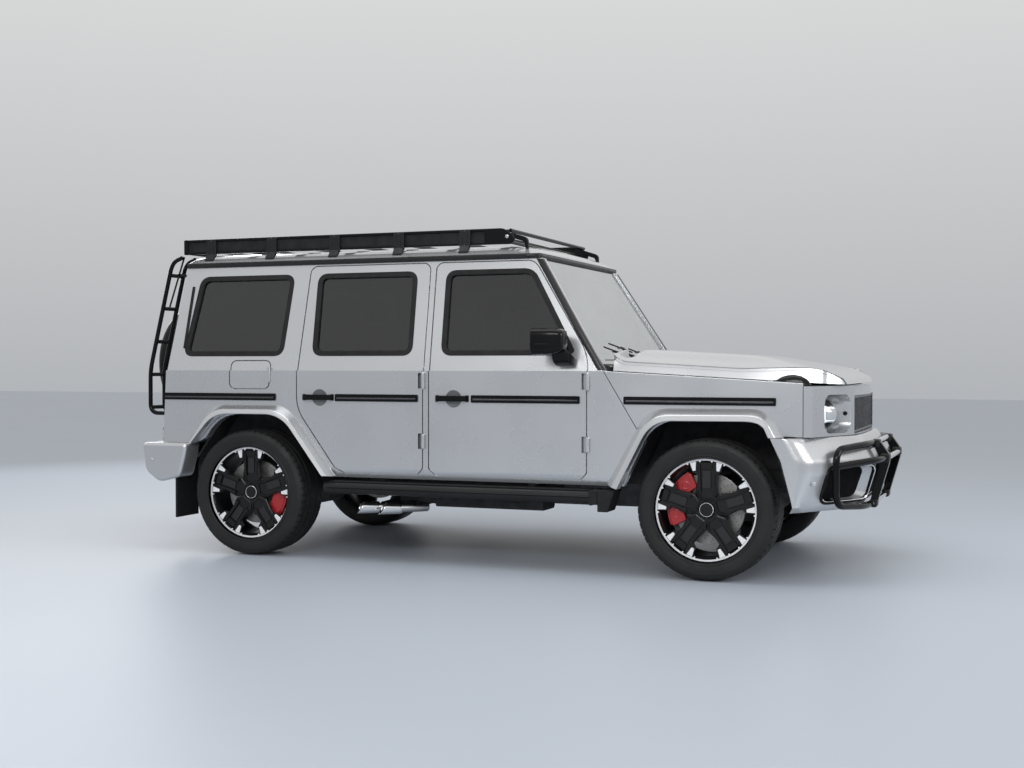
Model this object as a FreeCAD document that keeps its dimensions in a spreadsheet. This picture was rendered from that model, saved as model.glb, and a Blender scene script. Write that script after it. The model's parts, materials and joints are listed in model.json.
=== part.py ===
import FreeCAD, Part
import math
import os

import Sketcher

# Off-road station wagon with roof rack, rear ladder and brush guard.
# Millimetres, +X forward, +Y to the left, +Z up, origin on the ground under the middle.

V = FreeCAD.Vector

SIZES = {
    # whole vehicle
    "overall_length": 4910,
    "front_overhang": 915,
    "rear_overhang": 1105,
    "track": 1651,
    "panel_gap": 0.3,
    "bar_sides": 8,
    "tube_sides": 6,
    "cut_overrun": 20,
    # walls of the body, half widths from the middle
    "body_half_width": 895,
    "sill_half_width": 872,
    "sill_bottom": 500,
    "sill_turn": 60,
    "belt_height": 1150,
    "belt_ledge": 15,
    "gutter_half_width": 765,
    "gutter_height": 1810,
    "side_thickness": 65,
    # outline of the body sides
    "tail_low_to_axle": 670,
    "tail_belt_to_axle": 649,
    "tail_top_to_axle": 567,
    "tail_bottom": 690,
    "pillar_base_to_axle": 603,
    "pillar_lean": 412,
    "cowl_cut_end_back": 360,
    "cowl_cut_end_height": 749,
    # wheel arches, measured from the axle
    "arch_front_rear_foot": 512,
    "arch_front_foot_height": 466,
    "arch_front_rear_top": 302,
    "arch_front_front_top": 328,
    "arch_front_front_foot": 505,
    "arch_front_nose_height": 400,
    "arch_height": 876,
    "arch_round": 110,
    "arch_rear_front_foot": 570,
    "arch_rear_foot_height": 450,
    "arch_rear_front_top": 239,
    "arch_rear_rear_top": 241,
    "arch_rear_rear_foot": 560,
    "flare_half_width": 992,
    "flare_face": 34,
    "flare_slope": 40,
    "flare_foot": 478,
    # doors
    "front_door_to_axle": 703,
    "rear_door_to_axle": 312,
    "rear_door_top_lean": 38,
    "pillar_strip": 46,
    "door_bottom": 528,
    "door_top_drop": 15,
    "door_corner": 62,
    "door_top_corner": 38,
    "front_door_lean_height": 1241,
    "arch_notch_height": 916,
    "door_skin": 22,
    "door_depth": 58,
    "door_lip": 32,
    "shut_gap": 7,
    "frame_gap": 13,
    "hinge_offset": 12,
    "hinge_radius": 9,
    "hinge_high": 1090,
    "hinge_low": 730,
    "hinge_length": 92,
    "hinge_leaf": 26,
    "rear_hinge_low": 775,
    # side glass
    "glass_bottom": 1250,
    "glass_top": 1741,
    "glass_round": 34,
    "glass_fit": 0.3,
    "glass_depth": 14,
    "glass_thickness": 5,
    "front_glass_rear_inset": 73,
    "front_glass_low_corner": 68,
    "rear_glass_rear_inset": 98,
    "rear_glass_front_inset": 89,
    "quarter_glass_rear_low": 532,
    "quarter_glass_rear_top": 446,
    "quarter_glass_front_low": 186,
    "quarter_glass_front_top": 227,
    # door handles
    "handle_length": 210,
    "handle_height": 986,
    "handle_drop": 34,
    "handle_inset": 44,
    "handle_stand": 36,
    "handle_bar": 16,
    # roof
    "roof_lip_to_axle": 1028,
    "roof_band": 30,
    "roof_band_overhang": 12,
    "roof_shoulder_inset": 42,
    "roof_shoulder_rise": 84,
    "roof_crown": 110,
    "roof_round": 60,
    "roof_thickness": 32,
    # windscreen
    "screen_thickness": 6,
    "screen_set_back": 16,
    # floor and inner body
    "floor_bottom": 590,
    "floor_thickness": 25,
    "floor_rear_to_axle": 640,
    "firewall_to_axle": 635,
    "firewall_thickness": 25,
    "apron_outer": 497,
    "apron_thickness": 12,
    "apron_top_front": 1030,
    "liner_gap": 3,
    "liner_thickness": 12,
    "rear_house_inner": 648,
    # fenders
    "fender_front_to_axle": 520,
    "fender_nose_height": 1086,
    "fender_foot_height": 795,
    "fender_ledge": 160,
    "fender_wall": 30,
    "fender_ledge_thickness": 18,
    "seam": 3,
    # bonnet
    "bonnet_rear_to_axle": 592,
    "bonnet_half_width": 772,
    "bonnet_tip_to_axle": 716,
    "bonnet_tip_half_width": 640,
    "bonnet_tip_rise": 20,
    "bonnet_nose_height": 1160,
    "bonnet_nose_taper": 30,
    "bonnet_tip_height": 1078,
    "bonnet_skirt_rise": 60,
    "bonnet_side_crown": 96,
    "bonnet_dome": 132,
    "bonnet_dome_half_width": 470,
    "bonnet_mid_to_axle": 180,
    "bonnet_thickness": 22,
    "bonnet_hinge_height": 1222,
    # cowl and wipers
    "cowl_depth": 90,
    "cowl_lip": 8,
    "cowl_thickness": 24,
    "wiper_pivot_left": 80,
    "wiper_pivot_right": 560,
    "wiper_length": 560,
    "wiper_radius": 7,
    "wiper_stand": 8,
    "wiper_seat": 3.3,
    "wiper_rise": 50,
    # front panel and grille
    "nose_to_axle": 760,
    "nose_corner_to_axle": 566,
    "nose_corner_half_width": 880,
    "nose_turn_to_axle": 730,
    "nose_turn_half_width": 470,
    "nose_bottom": 795,
    "nose_top": 1070,
    "nose_thickness": 60,
    "nose_shelf": 5,
    "grille_half_width": 448,
    "grille_bottom": 800,
    "grille_top": 1014,
    "grille_depth": 34,
    "grille_bars": 5,
    "grille_bar": 12,
    "grille_frame": 16,
    "lamp_recess_inner": 500,
    "lamp_recess_outer": 770,
    "lamp_recess_bottom": 810,
    "lamp_recess_top": 1022,
    "lamp_recess_round": 55,
    "lamp_centre": 655,
    "lamp_height": 915,
    "lamp_radius": 92,
    "lamp_depth": 60,
    "lamp_face_to_axle": 612,
    "indicator_to_axle": 348,
    "indicator_length": 194,
    "indicator_width": 70,
    "indicator_height": 46,
    # front bumper
    "bumper_to_axle": 850,
    "bumper_turn_to_axle": 838,
    "bumper_turn_half_width": 450,
    "bumper_mid_to_axle": 772,
    "bumper_mid_half_width": 600,
    "bumper_side_to_axle": 540,
    "bumper_side_half_width": 985,
    "bumper_end_to_axle": 416,
    "bumper_bottom": 390,
    "bumper_shoulder": 668,
    "bumper_top": 792,
    "bumper_set_back": 70,
    "bumper_chin": 60,
    "bumper_chin_height": 600,
    "bumper_wall": 45,
    "intake_inner": 440,
    "intake_outer": 830,
    "intake_bottom": 432,
    "intake_top": 640,
    "intake_round": 50,
    "mid_intake_half_width": 360,
    # brush guard
    "guard_tube_radius": 19,
    "guard_bend": 60,
    "guard_outer": 815,
    "guard_outer_to_axle": 682,
    "guard_inner": 330,
    "guard_inner_to_axle": 896,
    "guard_top_to_axle": 836,
    "guard_bottom_to_axle": 822,
    "guard_elbow": 520,
    "guard_sweep": 30,
    "guard_top": 745,
    "guard_mid": 660,
    "guard_drop": 60,
    "guard_shoulder": 680,
    "guard_foot": 470,
    "guard_bottom": 402,
    "guard_post_width": 56,
    # rear end
    "rear_door_half_width": 735,
    "rear_door_top_half_width": 655,
    "rear_door_bottom": 712,
    "rear_door_top_gap": 14,
    "rear_glass_half_width": 560,
    "rear_glass_top_half_width": 505,
    "rear_glass_top": 1700,
    "rear_bumper_to_axle": 774,
    "rear_bumper_side_to_axle": 516,
    "rear_bumper_half_width": 985,
    "rear_bumper_bottom": 434,
    "rear_bumper_corner": 110,
    "rear_bumper_tuck": 30,
    "tail_lamp_inner": 775,
    "tail_lamp_outer": 885,
    "tail_lamp_height": 98,
    "tail_lamp_length": 72,
    # spare wheel on the rear door
    "spare_radius": 392,
    "spare_width": 280,
    "spare_behind_body": 155,
    "spare_height": 1200,
    "spare_bracket_radius": 90,
    # ladder
    "ladder_outer": 745,
    "ladder_inner": 590,
    "ladder_tube_radius": 14,
    "ladder_rung_radius": 11,
    "ladder_rungs": 5,
    "ladder_to_axle": 880,
    "ladder_lean": 262,
    "ladder_top": 1888,
    "ladder_bottom": 868,
    "ladder_bend": 46,
    "ladder_foot": 40,
    "ladder_high_rung": 1770,
    "ladder_stand_height": 1660,
    "ladder_low_rung": 905,
    # running boards
    "board_front_to_axle": 619,
    "board_rear_to_axle": 518,
    "board_outer": 950,
    "board_inner": 790,
    "board_bottom": 387,
    "board_top": 475,
    "board_round": 22,
    "board_brackets": 4,
    "bracket_width": 60,
    "bracket_height": 36,
    # exhaust
    "tip_radius": 37,
    "tip_wall": 4,
    "tip_height": 316,
    "tip_half_width": 868,
    "tip_spread": 150,
    "tip_from_muffler": 526,
    "tip_length": 150,
    "tip_sweep": 70,
    "muffler_width": 210,
    "muffler_half_width": 775,
    "muffler_bottom": 330,
    "muffler_gap": 12,
    "pipe_radius": 32,
    # mud flaps
    "flap_to_axle": 536,
    "flap_thickness": 14,
    "flap_inner": 700,
    "flap_bottom": 212,
    "flap_top": 589,
    "front_flap_drop": 30,
    "front_flap_foot": 60,
    "front_flap_length": 100,
    "front_flap_width": 150,
    # roof rack
    "rack_rear_to_axle": 636,
    "rack_behind_roof_lip": 181,
    "rack_half_width": 712,
    "rack_bottom": 1902,
    "rack_top": 2000,
    "rack_rail": 22,
    "rack_clear": 4,
    "rack_feet": 5,
    "rack_foot_length": 84,
    "rack_foot_front": 168,
    "rack_slats": 7,
    "rack_slat_width": 70,
    "rack_slat_thickness": 14,
    "rack_deck_drop": 50,
    # chassis
    "rail_inner": 390,
    "rail_outer": 470,
    "rail_bottom": 480,
    "rail_front_to_axle": 640,
    "cross_depth": 90,
    # engine, gearbox, tank
    "engine_front_to_axle": 330,
    "engine_rear_to_axle": 430,
    "engine_half_width": 290,
    "engine_bottom": 440,
    "engine_top": 1010,
    "gearbox_half_width": 150,
    "gearbox_height": 280,
    "shaft_radius": 36,
    "tank_front_to_axle": 260,
    "tank_length": 340,
    "tank_half_width": 320,
    "tank_bottom": 400,
    # wheels
    "tyre_diameter": 781,
    "tyre_width": 279,
    "tyre_shoulder": 28,
    "tyre_sides": 64,
    "rim_radius": 283,
    "rim_width": 236,
    "rim_wall": 30,
    "rim_sides": 32,
    "spoke_depth": 20,
    "spoke_count": 5,
    "spoke_thickness": 34,
    "hub_radius": 84,
    "hub_face": 42,
    "disc_radius": 200,
    "disc_thickness": 30,
    "disc_step": 5,
    "disc_sides": 16,
    "window_inner": 112,
    "window_inner_half": 34,
    "window_outer": 226,
    "window_outer_half": 100,
    "window_round": 14,
    "axle_gap": 0.3,
    # hubs, knuckles and brakes
    "kingpin_half_width": 745,
    "knuckle_radius": 32,
    "kingpin_radius": 10,
    "kingpin_rise": 8,
    "knuckle_reach": 172,
    "spindle_radius": 62,
    "caliper_inner": 128,
    "caliper_outer": 234,
    "caliper_wall": 26,
    "caliper_steps": 3,
    "brake_gap": 6,
    # front suspension
    "subframe_half_width": 380,
    "subframe_length": 150,
    "subframe_bottom": 300,
    "subframe_top": 392,
    "arm_thickness": 30,
    "arm_tip": 24,
    "spring_radius": 52,
    "spring_half_width": 560,
    "spring_top": 500,
    # rear axle
    "beam_radius": 45,
    "diff_radius": 150,
    "diff_half_width": 110,
    "link_radius": 24,
    # cabin
    "dash_depth": 330,
    "dash_bottom": 820,
    "dash_top": 1146,
    "dash_half_width": 800,
    "wheel_rim_radius": 185,
    "wheel_rim_section": 15,
    "wheel_column": 200,
    "wheel_centre_y": 370,
    "wheel_centre_back": 960,
    "wheel_centre_height": 1060,
    "seat_half_width": 255,
    "seat_centre": 370,
    "seat_depth": 480,
    "seat_top": 920,
    "seat_cushion": 150,
    "backrest_thickness": 120,
    "backrest_lean": 120,
    "backrest_top": 1490,
    "headrest_top": 1660,
    "headrest_half_width": 130,
    "rear_bench_half_width": 640,
    # mirrors
    "mirror_rear_to_axle": 970,
    "mirror_front_to_axle": 785,
    "mirror_inner": 940,
    "mirror_outer": 1092,
    "mirror_bottom": 1240,
    "mirror_top": 1397,
    "mirror_round": 36,
    "mirror_arm": 50,
    "mirror_foot": 1172,
    # fuel flap
    "fuel_flap_rear": 170,
    "fuel_flap_length": 280,
    "fuel_flap_bottom": 1039,
    "fuel_flap_height": 169,
    "fuel_flap_thickness": 16,
    "fuel_flap_round": 30,
    "fuel_pocket_depth": 40,
    "flap_hinge_offset": 9,
    "flap_hinge_stand": 5,
    "flap_hinge_length": 90,
}

SHARES = {
    # parts of a length that set the look of a form
    "indicator_top_rear_share": 0.5,
    "indicator_top_front_share": 0.7,
    "pipe_pitch_share": 1.4,
    "pipe_bend_share": 1.6,
    "pipe_turn_share": 0.35,
    "upper_arm_share": 0.75,
    "caliper_bracket_share": 0.45,
    "flat_corner_share": 0.66,
    "front_door_share": 0.33875,
    "front_door_lean_share": 0.3626,
    "front_glass_lean_share": 0.3708,
    "arch_notch_share": 0.3388,
    "muffler_front_share": 0.3478,
    "muffler_share": 0.2388,
    "gearbox_share": 0.3114,
    "link_share": 0.2422,
    "front_seat_share": 0.4187,
    "rear_seat_share": 0.2734,
    "dash_ledge_share": 0.4,
    "dash_knee_share": 0.35,
    "dash_brow_share": 0.5,
    "dash_foot_share": 0.6,
    "column_share": 2.4,
    "seat_base_share": 0.8,
    "backrest_top_share": 0.7,
}

ANGLES = {
    "full_turn": 360,
    "wheel_column_upright": 90,
    "caliper_sweep": 76,
    "front_caliper_turn": 142,
    "rear_caliper_turn": -38,
    "steering_wheel_rake": 25,
    }

DOC = FreeCAD.newDocument("off_road_wagon")
NODES = []


class Size:
    """A number together with the spreadsheet formula that gives it."""

    def __init__(self, value, formula):
        self.value = float(value)
        self.formula = formula

    def __add__(self, other):
        other = as_size(other)
        return Size(self.value + other.value, f"({self.formula} + {other.formula})")

    __radd__ = __add__

    def __neg__(self):
        return Size(-self.value, f"(0 - {self.formula})")

    def __sub__(self, other):
        other = as_size(other)
        return Size(self.value - other.value, f"({self.formula} - {other.formula})")

    def __rsub__(self, other):
        return as_size(other) - self

    def __mul__(self, factor):
        factor = as_size(factor)
        return Size(self.value * factor.value, f"({self.formula} * {factor.formula})")

    __rmul__ = __mul__

    def __truediv__(self, divisor):
        divisor = as_size(divisor)
        return Size(self.value / divisor.value, f"({self.formula} / {divisor.formula})")


def as_size(number):
    if isinstance(number, Size):
        return number
    return Size(number, repr(number))


def cosine(angle):
    return Size(math.cos(math.radians(angle.value)), f"cos({angle.formula} * 1 deg)")


def sine(angle):
    return Size(math.sin(math.radians(angle.value)), f"sin({angle.formula} * 1 deg)")


class Sheet:
    """The spreadsheet of driving sizes, read by name."""

    def __init__(self):
        sheet = DOC.addObject("Spreadsheet::Sheet", "sizes")
        self.named = {}
        rows = list(SIZES.items()) + list(SHARES.items()) + list(ANGLES.items())
        for row, (name, value) in enumerate(rows, start=1):
            sheet.set(f"A{row}", name)
            sheet.set(f"B{row}", str(value))
            sheet.setAlias(f"B{row}", name)
            self.named[name] = Size(value, f"sizes.{name}")

    def __getattr__(self, name):
        return self.named[name]


S = Sheet()
DOC.recompute()

# Places worked out from the driving sizes.
FRONT_AXLE = S.overall_length / 2 - S.front_overhang
WHEELBASE = S.overall_length - S.front_overhang - S.rear_overhang
REAR_AXLE = FRONT_AXLE - WHEELBASE
AXLE_HEIGHT = S.tyre_diameter / 2
LINK_LENGTH = WHEELBASE * S.link_share
BODY_FRONT = FRONT_AXLE + S.fender_front_to_axle
BODY_REAR = REAR_AXLE - S.tail_low_to_axle
BEYOND = S.body_half_width + S.flare_half_width
UP = V(0, 0, 1)
AXES = {"XY": V(0, 0, 1), "XZ": V(0, 1, 0), "YZ": V(1, 0, 0)}
TURNS = {
    "XY": FreeCAD.Rotation(),
    "XZ": FreeCAD.Rotation(V(1, 0, 0), 90),
    "YZ": FreeCAD.Rotation(V(1, 1, 1), 120),
}
RISE = {"XY": "z", "XZ": "y", "YZ": "x"}


def bind(thing, prop, size):
    """Set one property of an object to a named size or to a sum of them."""
    size = as_size(size)
    if size.value == 0 and size.formula == "0":
        return
    thing.setExpression(prop, size.formula)


def put(thing, x=0, y=0, z=0):
    """Move an object's base point to a place given in named sizes."""
    place = thing.Placement
    place.Base = V(as_size(x).value, as_size(y).value, as_size(z).value)
    thing.Placement = place
    bind(thing, "Placement.Base.x", x)
    bind(thing, "Placement.Base.y", y)
    bind(thing, "Placement.Base.z", z)
    return thing


def corner_arc(before, corner, after, radius):
    """The arc that rounds one corner, and whether it runs from the first side to the second."""
    back = (before - corner).normalize()
    ahead = (after - corner).normalize()
    half = back.getAngle(ahead) / 2
    reach = radius / math.tan(half)
    centre = corner + (back + ahead).normalize() * (radius / math.sin(half))
    first = corner + back * reach
    second = corner + ahead * reach
    forward = (corner - before).cross(after - corner).z > 0
    start, end = (first, second) if forward else (second, first)
    start_angle = math.atan2(start.y - centre.y, start.x - centre.x)
    end_angle = math.atan2(end.y - centre.y, end.x - centre.x)
    circle = Part.Circle(centre, UP, radius)
    return Part.ArcOfCircle(circle, start_angle, end_angle), first, second, forward


def flat_corner(before, corner, after, reach):
    """The straight cut across one corner, between the places where it meets both sides."""
    first = corner + (before - corner).normalize() * reach
    second = corner + (after - corner).normalize() * reach
    return Part.LineSegment(first, second), first, second, True


def pin_point(rules, formulas, geometry, end, across, up):
    """Fix one sketch point at named distances from the sketch's origin."""
    for kind, size, axis in (("DistanceX", as_size(across), -2), ("DistanceY", as_size(up), -1)):
        if size.value == 0:
            rules.append(Sketcher.Constraint("PointOnObject", geometry, end, axis))
        else:
            formulas[len(rules)] = size.formula
            rules.append(Sketcher.Constraint(kind, -1, 1, geometry, end, size.value))


def outline(corners, plane="XZ", level=0, holder=None, flat=False):
    """A sketch of straight sides; a corner's third number rounds it or cuts it flat."""
    if holder is None:
        sketch = DOC.addObject("Sketcher::SketchObject", "outline")
        sketch.Placement = FreeCAD.Placement(V(0, 0, 0), TURNS[plane])
    else:
        sketch = holder.newObject("Sketcher::SketchObject", "outline")
        plane_feature = [f for f in holder.Origin.OriginFeatures if f.Role == f"{plane}_Plane"][0]
        sketch.AttachmentSupport = [(plane_feature, "")]
        sketch.MapMode = "FlatFace"
    places = [V(as_size(c[0]).value, as_size(c[1]).value, 0) for c in corners]
    count = len(corners)
    across = flat_corner if flat else corner_arc
    reach = {}
    arcs = {}
    for i, corner in enumerate(corners):
        if len(corner) > 2:
            reach[i] = as_size(corner[2]) * S.flat_corner_share if flat else as_size(corner[2])
            arcs[i] = across(places[i - 1], places[i], places[(i + 1) % count], reach[i].value)
    geometry = []
    for i in range(count):
        j = (i + 1) % count
        start = arcs[i][2] if i in arcs else places[i]
        end = arcs[j][1] if j in arcs else places[j]
        geometry.append(Part.LineSegment(start, end))
    arc_index = {}
    for i, arc in arcs.items():
        arc_index[i] = len(geometry)
        geometry.append(arc[0])
    sketch.addGeometry(geometry, False)
    point_index = {}
    for i in arcs:
        point_index[i] = sketch.addGeometry(Part.Point(places[i]), True)
    rules = []
    formulas = {}
    for i in range(count):
        into = (i - 1) % count
        if i in arcs:
            pin_point(rules, formulas, point_index[i], 1, corners[i][0], corners[i][1])
            rules.append(Sketcher.Constraint("PointOnObject", point_index[i], 1, into))
            rules.append(Sketcher.Constraint("PointOnObject", point_index[i], 1, i))
            arc = arc_index[i]
            near, far = (1, 2) if arcs[i][3] else (2, 1)
            meeting = "Coincident" if flat else "Tangent"
            rules.append(Sketcher.Constraint(meeting, into, 2, arc, near))
            rules.append(Sketcher.Constraint(meeting, i, 1, arc, far))
            if flat:
                for side, end in ((into, 2), (i, 1)):
                    formulas[len(rules)] = reach[i].formula
                    rules.append(Sketcher.Constraint("Distance", point_index[i], 1, side, end,
                                                     reach[i].value))
            else:
                formulas[len(rules)] = reach[i].formula
                rules.append(Sketcher.Constraint("Radius", arc, reach[i].value))
        else:
            rules.append(Sketcher.Constraint("Coincident", into, 2, i, 1))
            pin_point(rules, formulas, i, 1, corners[i][0], corners[i][1])
    sketch.addConstraint(rules)
    for index, formula in formulas.items():
        sketch.setExpression(f"Constraints[{index}]", formula)
    if holder is None:
        bind(sketch, f"Placement.Base.{RISE[plane]}", level)
    sketch.Label2 = plane
    return sketch


def prism(base, start, end, plane=None):
    """An outline carried along its plane's axis from one coordinate to another."""
    solid = DOC.addObject("Part::Extrusion", "prism")
    solid.Base = base
    solid.DirMode = "Custom"
    solid.Dir = AXES[plane or base.Label2]
    solid.Solid = True
    solid.LengthFwd = as_size(end).value
    solid.LengthRev = -as_size(start).value
    bind(solid, "LengthFwd", end)
    bind(solid, "LengthRev", -as_size(start))
    return solid


def grown(base, distance):
    """The same outline moved outwards all round, or inwards with a negative distance."""
    ring = DOC.addObject("Part::Offset2D", "grown")
    ring.Source = base
    ring.Join = "Intersection"
    bind(ring, "Value", distance)
    ring.Label2 = base.Label2
    return ring


def block(x0, x1, y0, y1, z0, z1):
    """A box between two corners."""
    box = DOC.addObject("Part::Box", "block")
    bind(box, "Length", as_size(x1) - x0)
    bind(box, "Width", as_size(y1) - y0)
    bind(box, "Height", as_size(z1) - z0)
    return put(box, x0, y0, z0)


def along(piece, x, y, z, length, axis):
    """Give a primitive its length, and lay it along one axis from a point."""
    bind(piece, "Height", length)
    turn = {"x": (V(0, 1, 0), 90), "y": (V(1, 0, 0), -90), "z": (UP, 0)}[axis]
    piece.Placement = FreeCAD.Placement(V(0, 0, 0), FreeCAD.Rotation(*turn))
    return put(piece, x, y, z)


def rod(x, y, z, radius, length, axis="z"):
    """A round bar."""
    piece = DOC.addObject("Part::Cylinder", "rod")
    bind(piece, "Radius", radius)
    return along(piece, x, y, z, length, axis)


def bar(x, y, z, radius, length, axis="z", sides=None):
    """A bar with a few flat sides, for what is out of sight or many times there."""
    piece = DOC.addObject("Part::Prism", "bar")
    bind(piece, "Polygon", sides or S.bar_sides)
    bind(piece, "Circumradius", radius)
    return along(piece, x, y, z, length, axis)


def joined(kind, prop, things):
    both = DOC.addObject(kind, kind.split("::")[1].lower())
    setattr(both, prop, things)
    return both


def fuse(*things):
    if len(things) == 1:
        return things[0]
    return joined("Part::MultiFuse", "Shapes", list(things))


def common(*things):
    return joined("Part::MultiCommon", "Shapes", list(things))


def gather(*things):
    return joined("Part::Compound", "Links", list(things))


def cut(base, *tools):
    """The base with every tool taken out of it, one after the other."""
    for tool in tools:
        rest = DOC.addObject("Part::Cut", "cut")
        rest.Base = base
        rest.Tool = tool
        base = rest
    return base


def mirrored(thing):
    """The same piece on the other side of the middle plane."""
    other = DOC.addObject("Part::Mirroring", "mirrored")
    other.Source = thing
    other.Normal = V(0, 1, 0)
    return other


def pair(thing):
    return gather(thing, mirrored(thing))


def loft(sections, ruled=True):
    """A solid skin through several outlines with as many corners each."""
    skin = DOC.addObject("Part::Loft", "loft")
    skin.Sections = sections
    skin.Solid = True
    skin.Ruled = ruled
    return skin


def spin(profile, axis, angle=None):
    """A profile turned about an axis through the origin, all the way round by default."""
    turned = DOC.addObject("Part::Revolution", "spin")
    turned.Source = profile
    turned.Axis = axis
    turned.Solid = True
    bind(turned, "Angle", angle or S.full_turn)
    return turned


def tube(points, radius, bend, sides=None):
    """A bent tube with a few flat sides: straight runs, each bend cut across its corner."""
    places = [V(*[as_size(c).value for c in p]) for p in points]
    reach = (as_size(bend) * S.flat_corner_share).value
    path = [places[0]]
    for before, corner, after in zip(places, places[1:], places[2:]):
        path += flat_corner(before, corner, after, reach)[1:3]
    path.append(places[-1])
    ahead = (path[1] - path[0]).normalize()
    level = UP if abs(ahead.z) < abs(ahead.x) + abs(ahead.y) else AXES["YZ"]
    side = ahead.cross(level).normalize() * as_size(radius).value
    rise = side.cross(ahead)
    sides = int((sides or S.tube_sides).value)
    turns = [math.pi * (2 * i + 1) / sides for i in range(sides + 1)]
    ring = [path[0] + side * math.cos(turn) + rise * math.sin(turn) for turn in turns]
    bent = DOC.addObject("Part::Feature", "tube")
    bent.Shape = Part.makePolygon(path).makePipeShell([Part.makePolygon(ring)], True, False, 1)
    return bent


def node(name, thing):
    """Give a finished sub-part the name of its file."""
    thing.Label = name
    NODES.append(thing)
    return thing


# Shared outlines


def side_slab(near, deep):
    """Right wall between two depths below its outer face, as long as the whole vehicle."""
    near = as_size(near)
    outer = S.body_half_width - near
    upper = S.body_half_width - S.belt_ledge
    corners = [
        (-outer, S.belt_height),
        (near - upper, S.belt_height),
        (near - S.gutter_half_width, S.gutter_height),
        (deep - S.gutter_half_width, S.gutter_height),
        (deep - upper, S.belt_height),
        (deep - S.body_half_width, S.belt_height),
        (deep - S.body_half_width, S.sill_bottom),
    ]
    if near.value == 0:
        corners.append((-S.sill_half_width, S.sill_bottom))
        corners.append((-outer, S.sill_bottom + S.sill_turn))
    else:
        corners.append((-outer, S.sill_bottom))
    return prism(outline(corners, "YZ"), BODY_REAR - S.overall_length, BODY_FRONT + WHEELBASE)


def on_side(sketch, near, deep):
    """An outline on the right wall, between two depths below the outer face."""
    flat = prism(sketch, -(S.body_half_width + S.cut_overrun * 2), 0)
    return common(flat, side_slab(near, deep))


def through_side(sketch):
    """A tool that cuts an outline through the right wall."""
    return prism(sketch, -(S.flare_half_width + S.cut_overrun), -S.apron_outer)


def front_arch(sharp=False):
    return arch_outline([
        (FRONT_AXLE - S.arch_front_rear_foot, S.arch_front_foot_height - S.cut_overrun),
        (FRONT_AXLE + S.arch_front_front_foot, S.arch_front_nose_height - S.cut_overrun),
        (FRONT_AXLE + S.arch_front_front_top, S.arch_height, S.arch_round),
        (FRONT_AXLE - S.arch_front_rear_top, S.arch_height, S.arch_round),
    ], sharp)


def arch_outline(corners, sharp):
    """A wheel arch, without its cut corners where they are out of sight."""
    return outline([corner[:2] if sharp else corner for corner in corners], flat=True)


def rear_arch(sharp=False):
    return arch_outline([
        (REAR_AXLE - S.arch_rear_rear_foot, S.arch_rear_foot_height - S.cut_overrun),
        (REAR_AXLE + S.arch_rear_front_foot, S.arch_rear_foot_height - S.cut_overrun),
        (REAR_AXLE + S.arch_rear_front_top, S.arch_height, S.arch_round),
        (REAR_AXLE - S.arch_rear_rear_top, S.arch_height, S.arch_round),
    ], sharp)


FRONT_DOOR_FRONT = FRONT_AXLE - S.front_door_to_axle
FRONT_DOOR_LENGTH = WHEELBASE * S.front_door_share
FRONT_DOOR_REAR = FRONT_DOOR_FRONT - FRONT_DOOR_LENGTH
REAR_DOOR_FRONT = FRONT_DOOR_REAR - S.pillar_strip
REAR_DOOR_REAR = REAR_AXLE + S.rear_door_to_axle
REAR_DOOR_LENGTH = REAR_DOOR_FRONT - REAR_DOOR_REAR
DOOR_TOP = S.gutter_height - S.door_top_drop
HINGE_Y = -(S.body_half_width + S.hinge_offset)


def front_door_outline():
    return outline([
        (FRONT_DOOR_REAR, S.door_bottom, S.door_corner),
        (FRONT_DOOR_FRONT, S.door_bottom, S.door_corner),
        (FRONT_DOOR_FRONT, S.front_door_lean_height, S.door_corner),
        (FRONT_DOOR_FRONT - FRONT_DOOR_LENGTH * S.front_door_lean_share, DOOR_TOP, S.door_top_corner),
        (FRONT_DOOR_REAR, DOOR_TOP, S.door_top_corner),
    ], flat=True)


def rear_side_door_outline():
    return outline([
        (REAR_DOOR_REAR + REAR_DOOR_LENGTH * S.arch_notch_share, S.door_bottom, S.door_corner),
        (REAR_DOOR_FRONT, S.door_bottom, S.door_corner),
        (REAR_DOOR_FRONT, DOOR_TOP, S.door_top_corner),
        (REAR_DOOR_REAR + S.rear_door_top_lean, DOOR_TOP, S.door_top_corner),
        (REAR_DOOR_REAR, S.belt_height),
        (REAR_DOOR_REAR, S.arch_notch_height, S.door_corner),
    ], flat=True)


def front_glass_outline():
    return outline([
        (FRONT_DOOR_REAR + S.front_glass_rear_inset, S.glass_bottom, S.glass_round),
        (FRONT_DOOR_FRONT - S.front_glass_low_corner, S.glass_bottom, S.glass_round),
        (FRONT_DOOR_FRONT - FRONT_DOOR_LENGTH * S.front_glass_lean_share, S.glass_top, S.glass_round),
        (FRONT_DOOR_REAR + S.front_glass_rear_inset, S.glass_top, S.glass_round),
    ], flat=True)


def rear_glass_outline():
    return outline([
        (REAR_DOOR_REAR + S.rear_glass_rear_inset, S.glass_bottom, S.glass_round),
        (REAR_DOOR_FRONT - S.rear_glass_front_inset, S.glass_bottom, S.glass_round),
        (REAR_DOOR_FRONT - S.rear_glass_front_inset, S.glass_top, S.glass_round),
        (REAR_DOOR_REAR + S.rear_glass_rear_inset, S.glass_top, S.glass_round),
    ], flat=True)


def quarter_glass_outline():
    return outline([
        (REAR_AXLE - S.quarter_glass_rear_low, S.glass_bottom, S.glass_round),
        (REAR_AXLE + S.quarter_glass_front_low, S.glass_bottom, S.glass_round),
        (REAR_AXLE + S.quarter_glass_front_top, S.glass_top, S.glass_round),
        (REAR_AXLE - S.quarter_glass_rear_top, S.glass_top, S.glass_round),
    ], flat=True)


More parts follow.
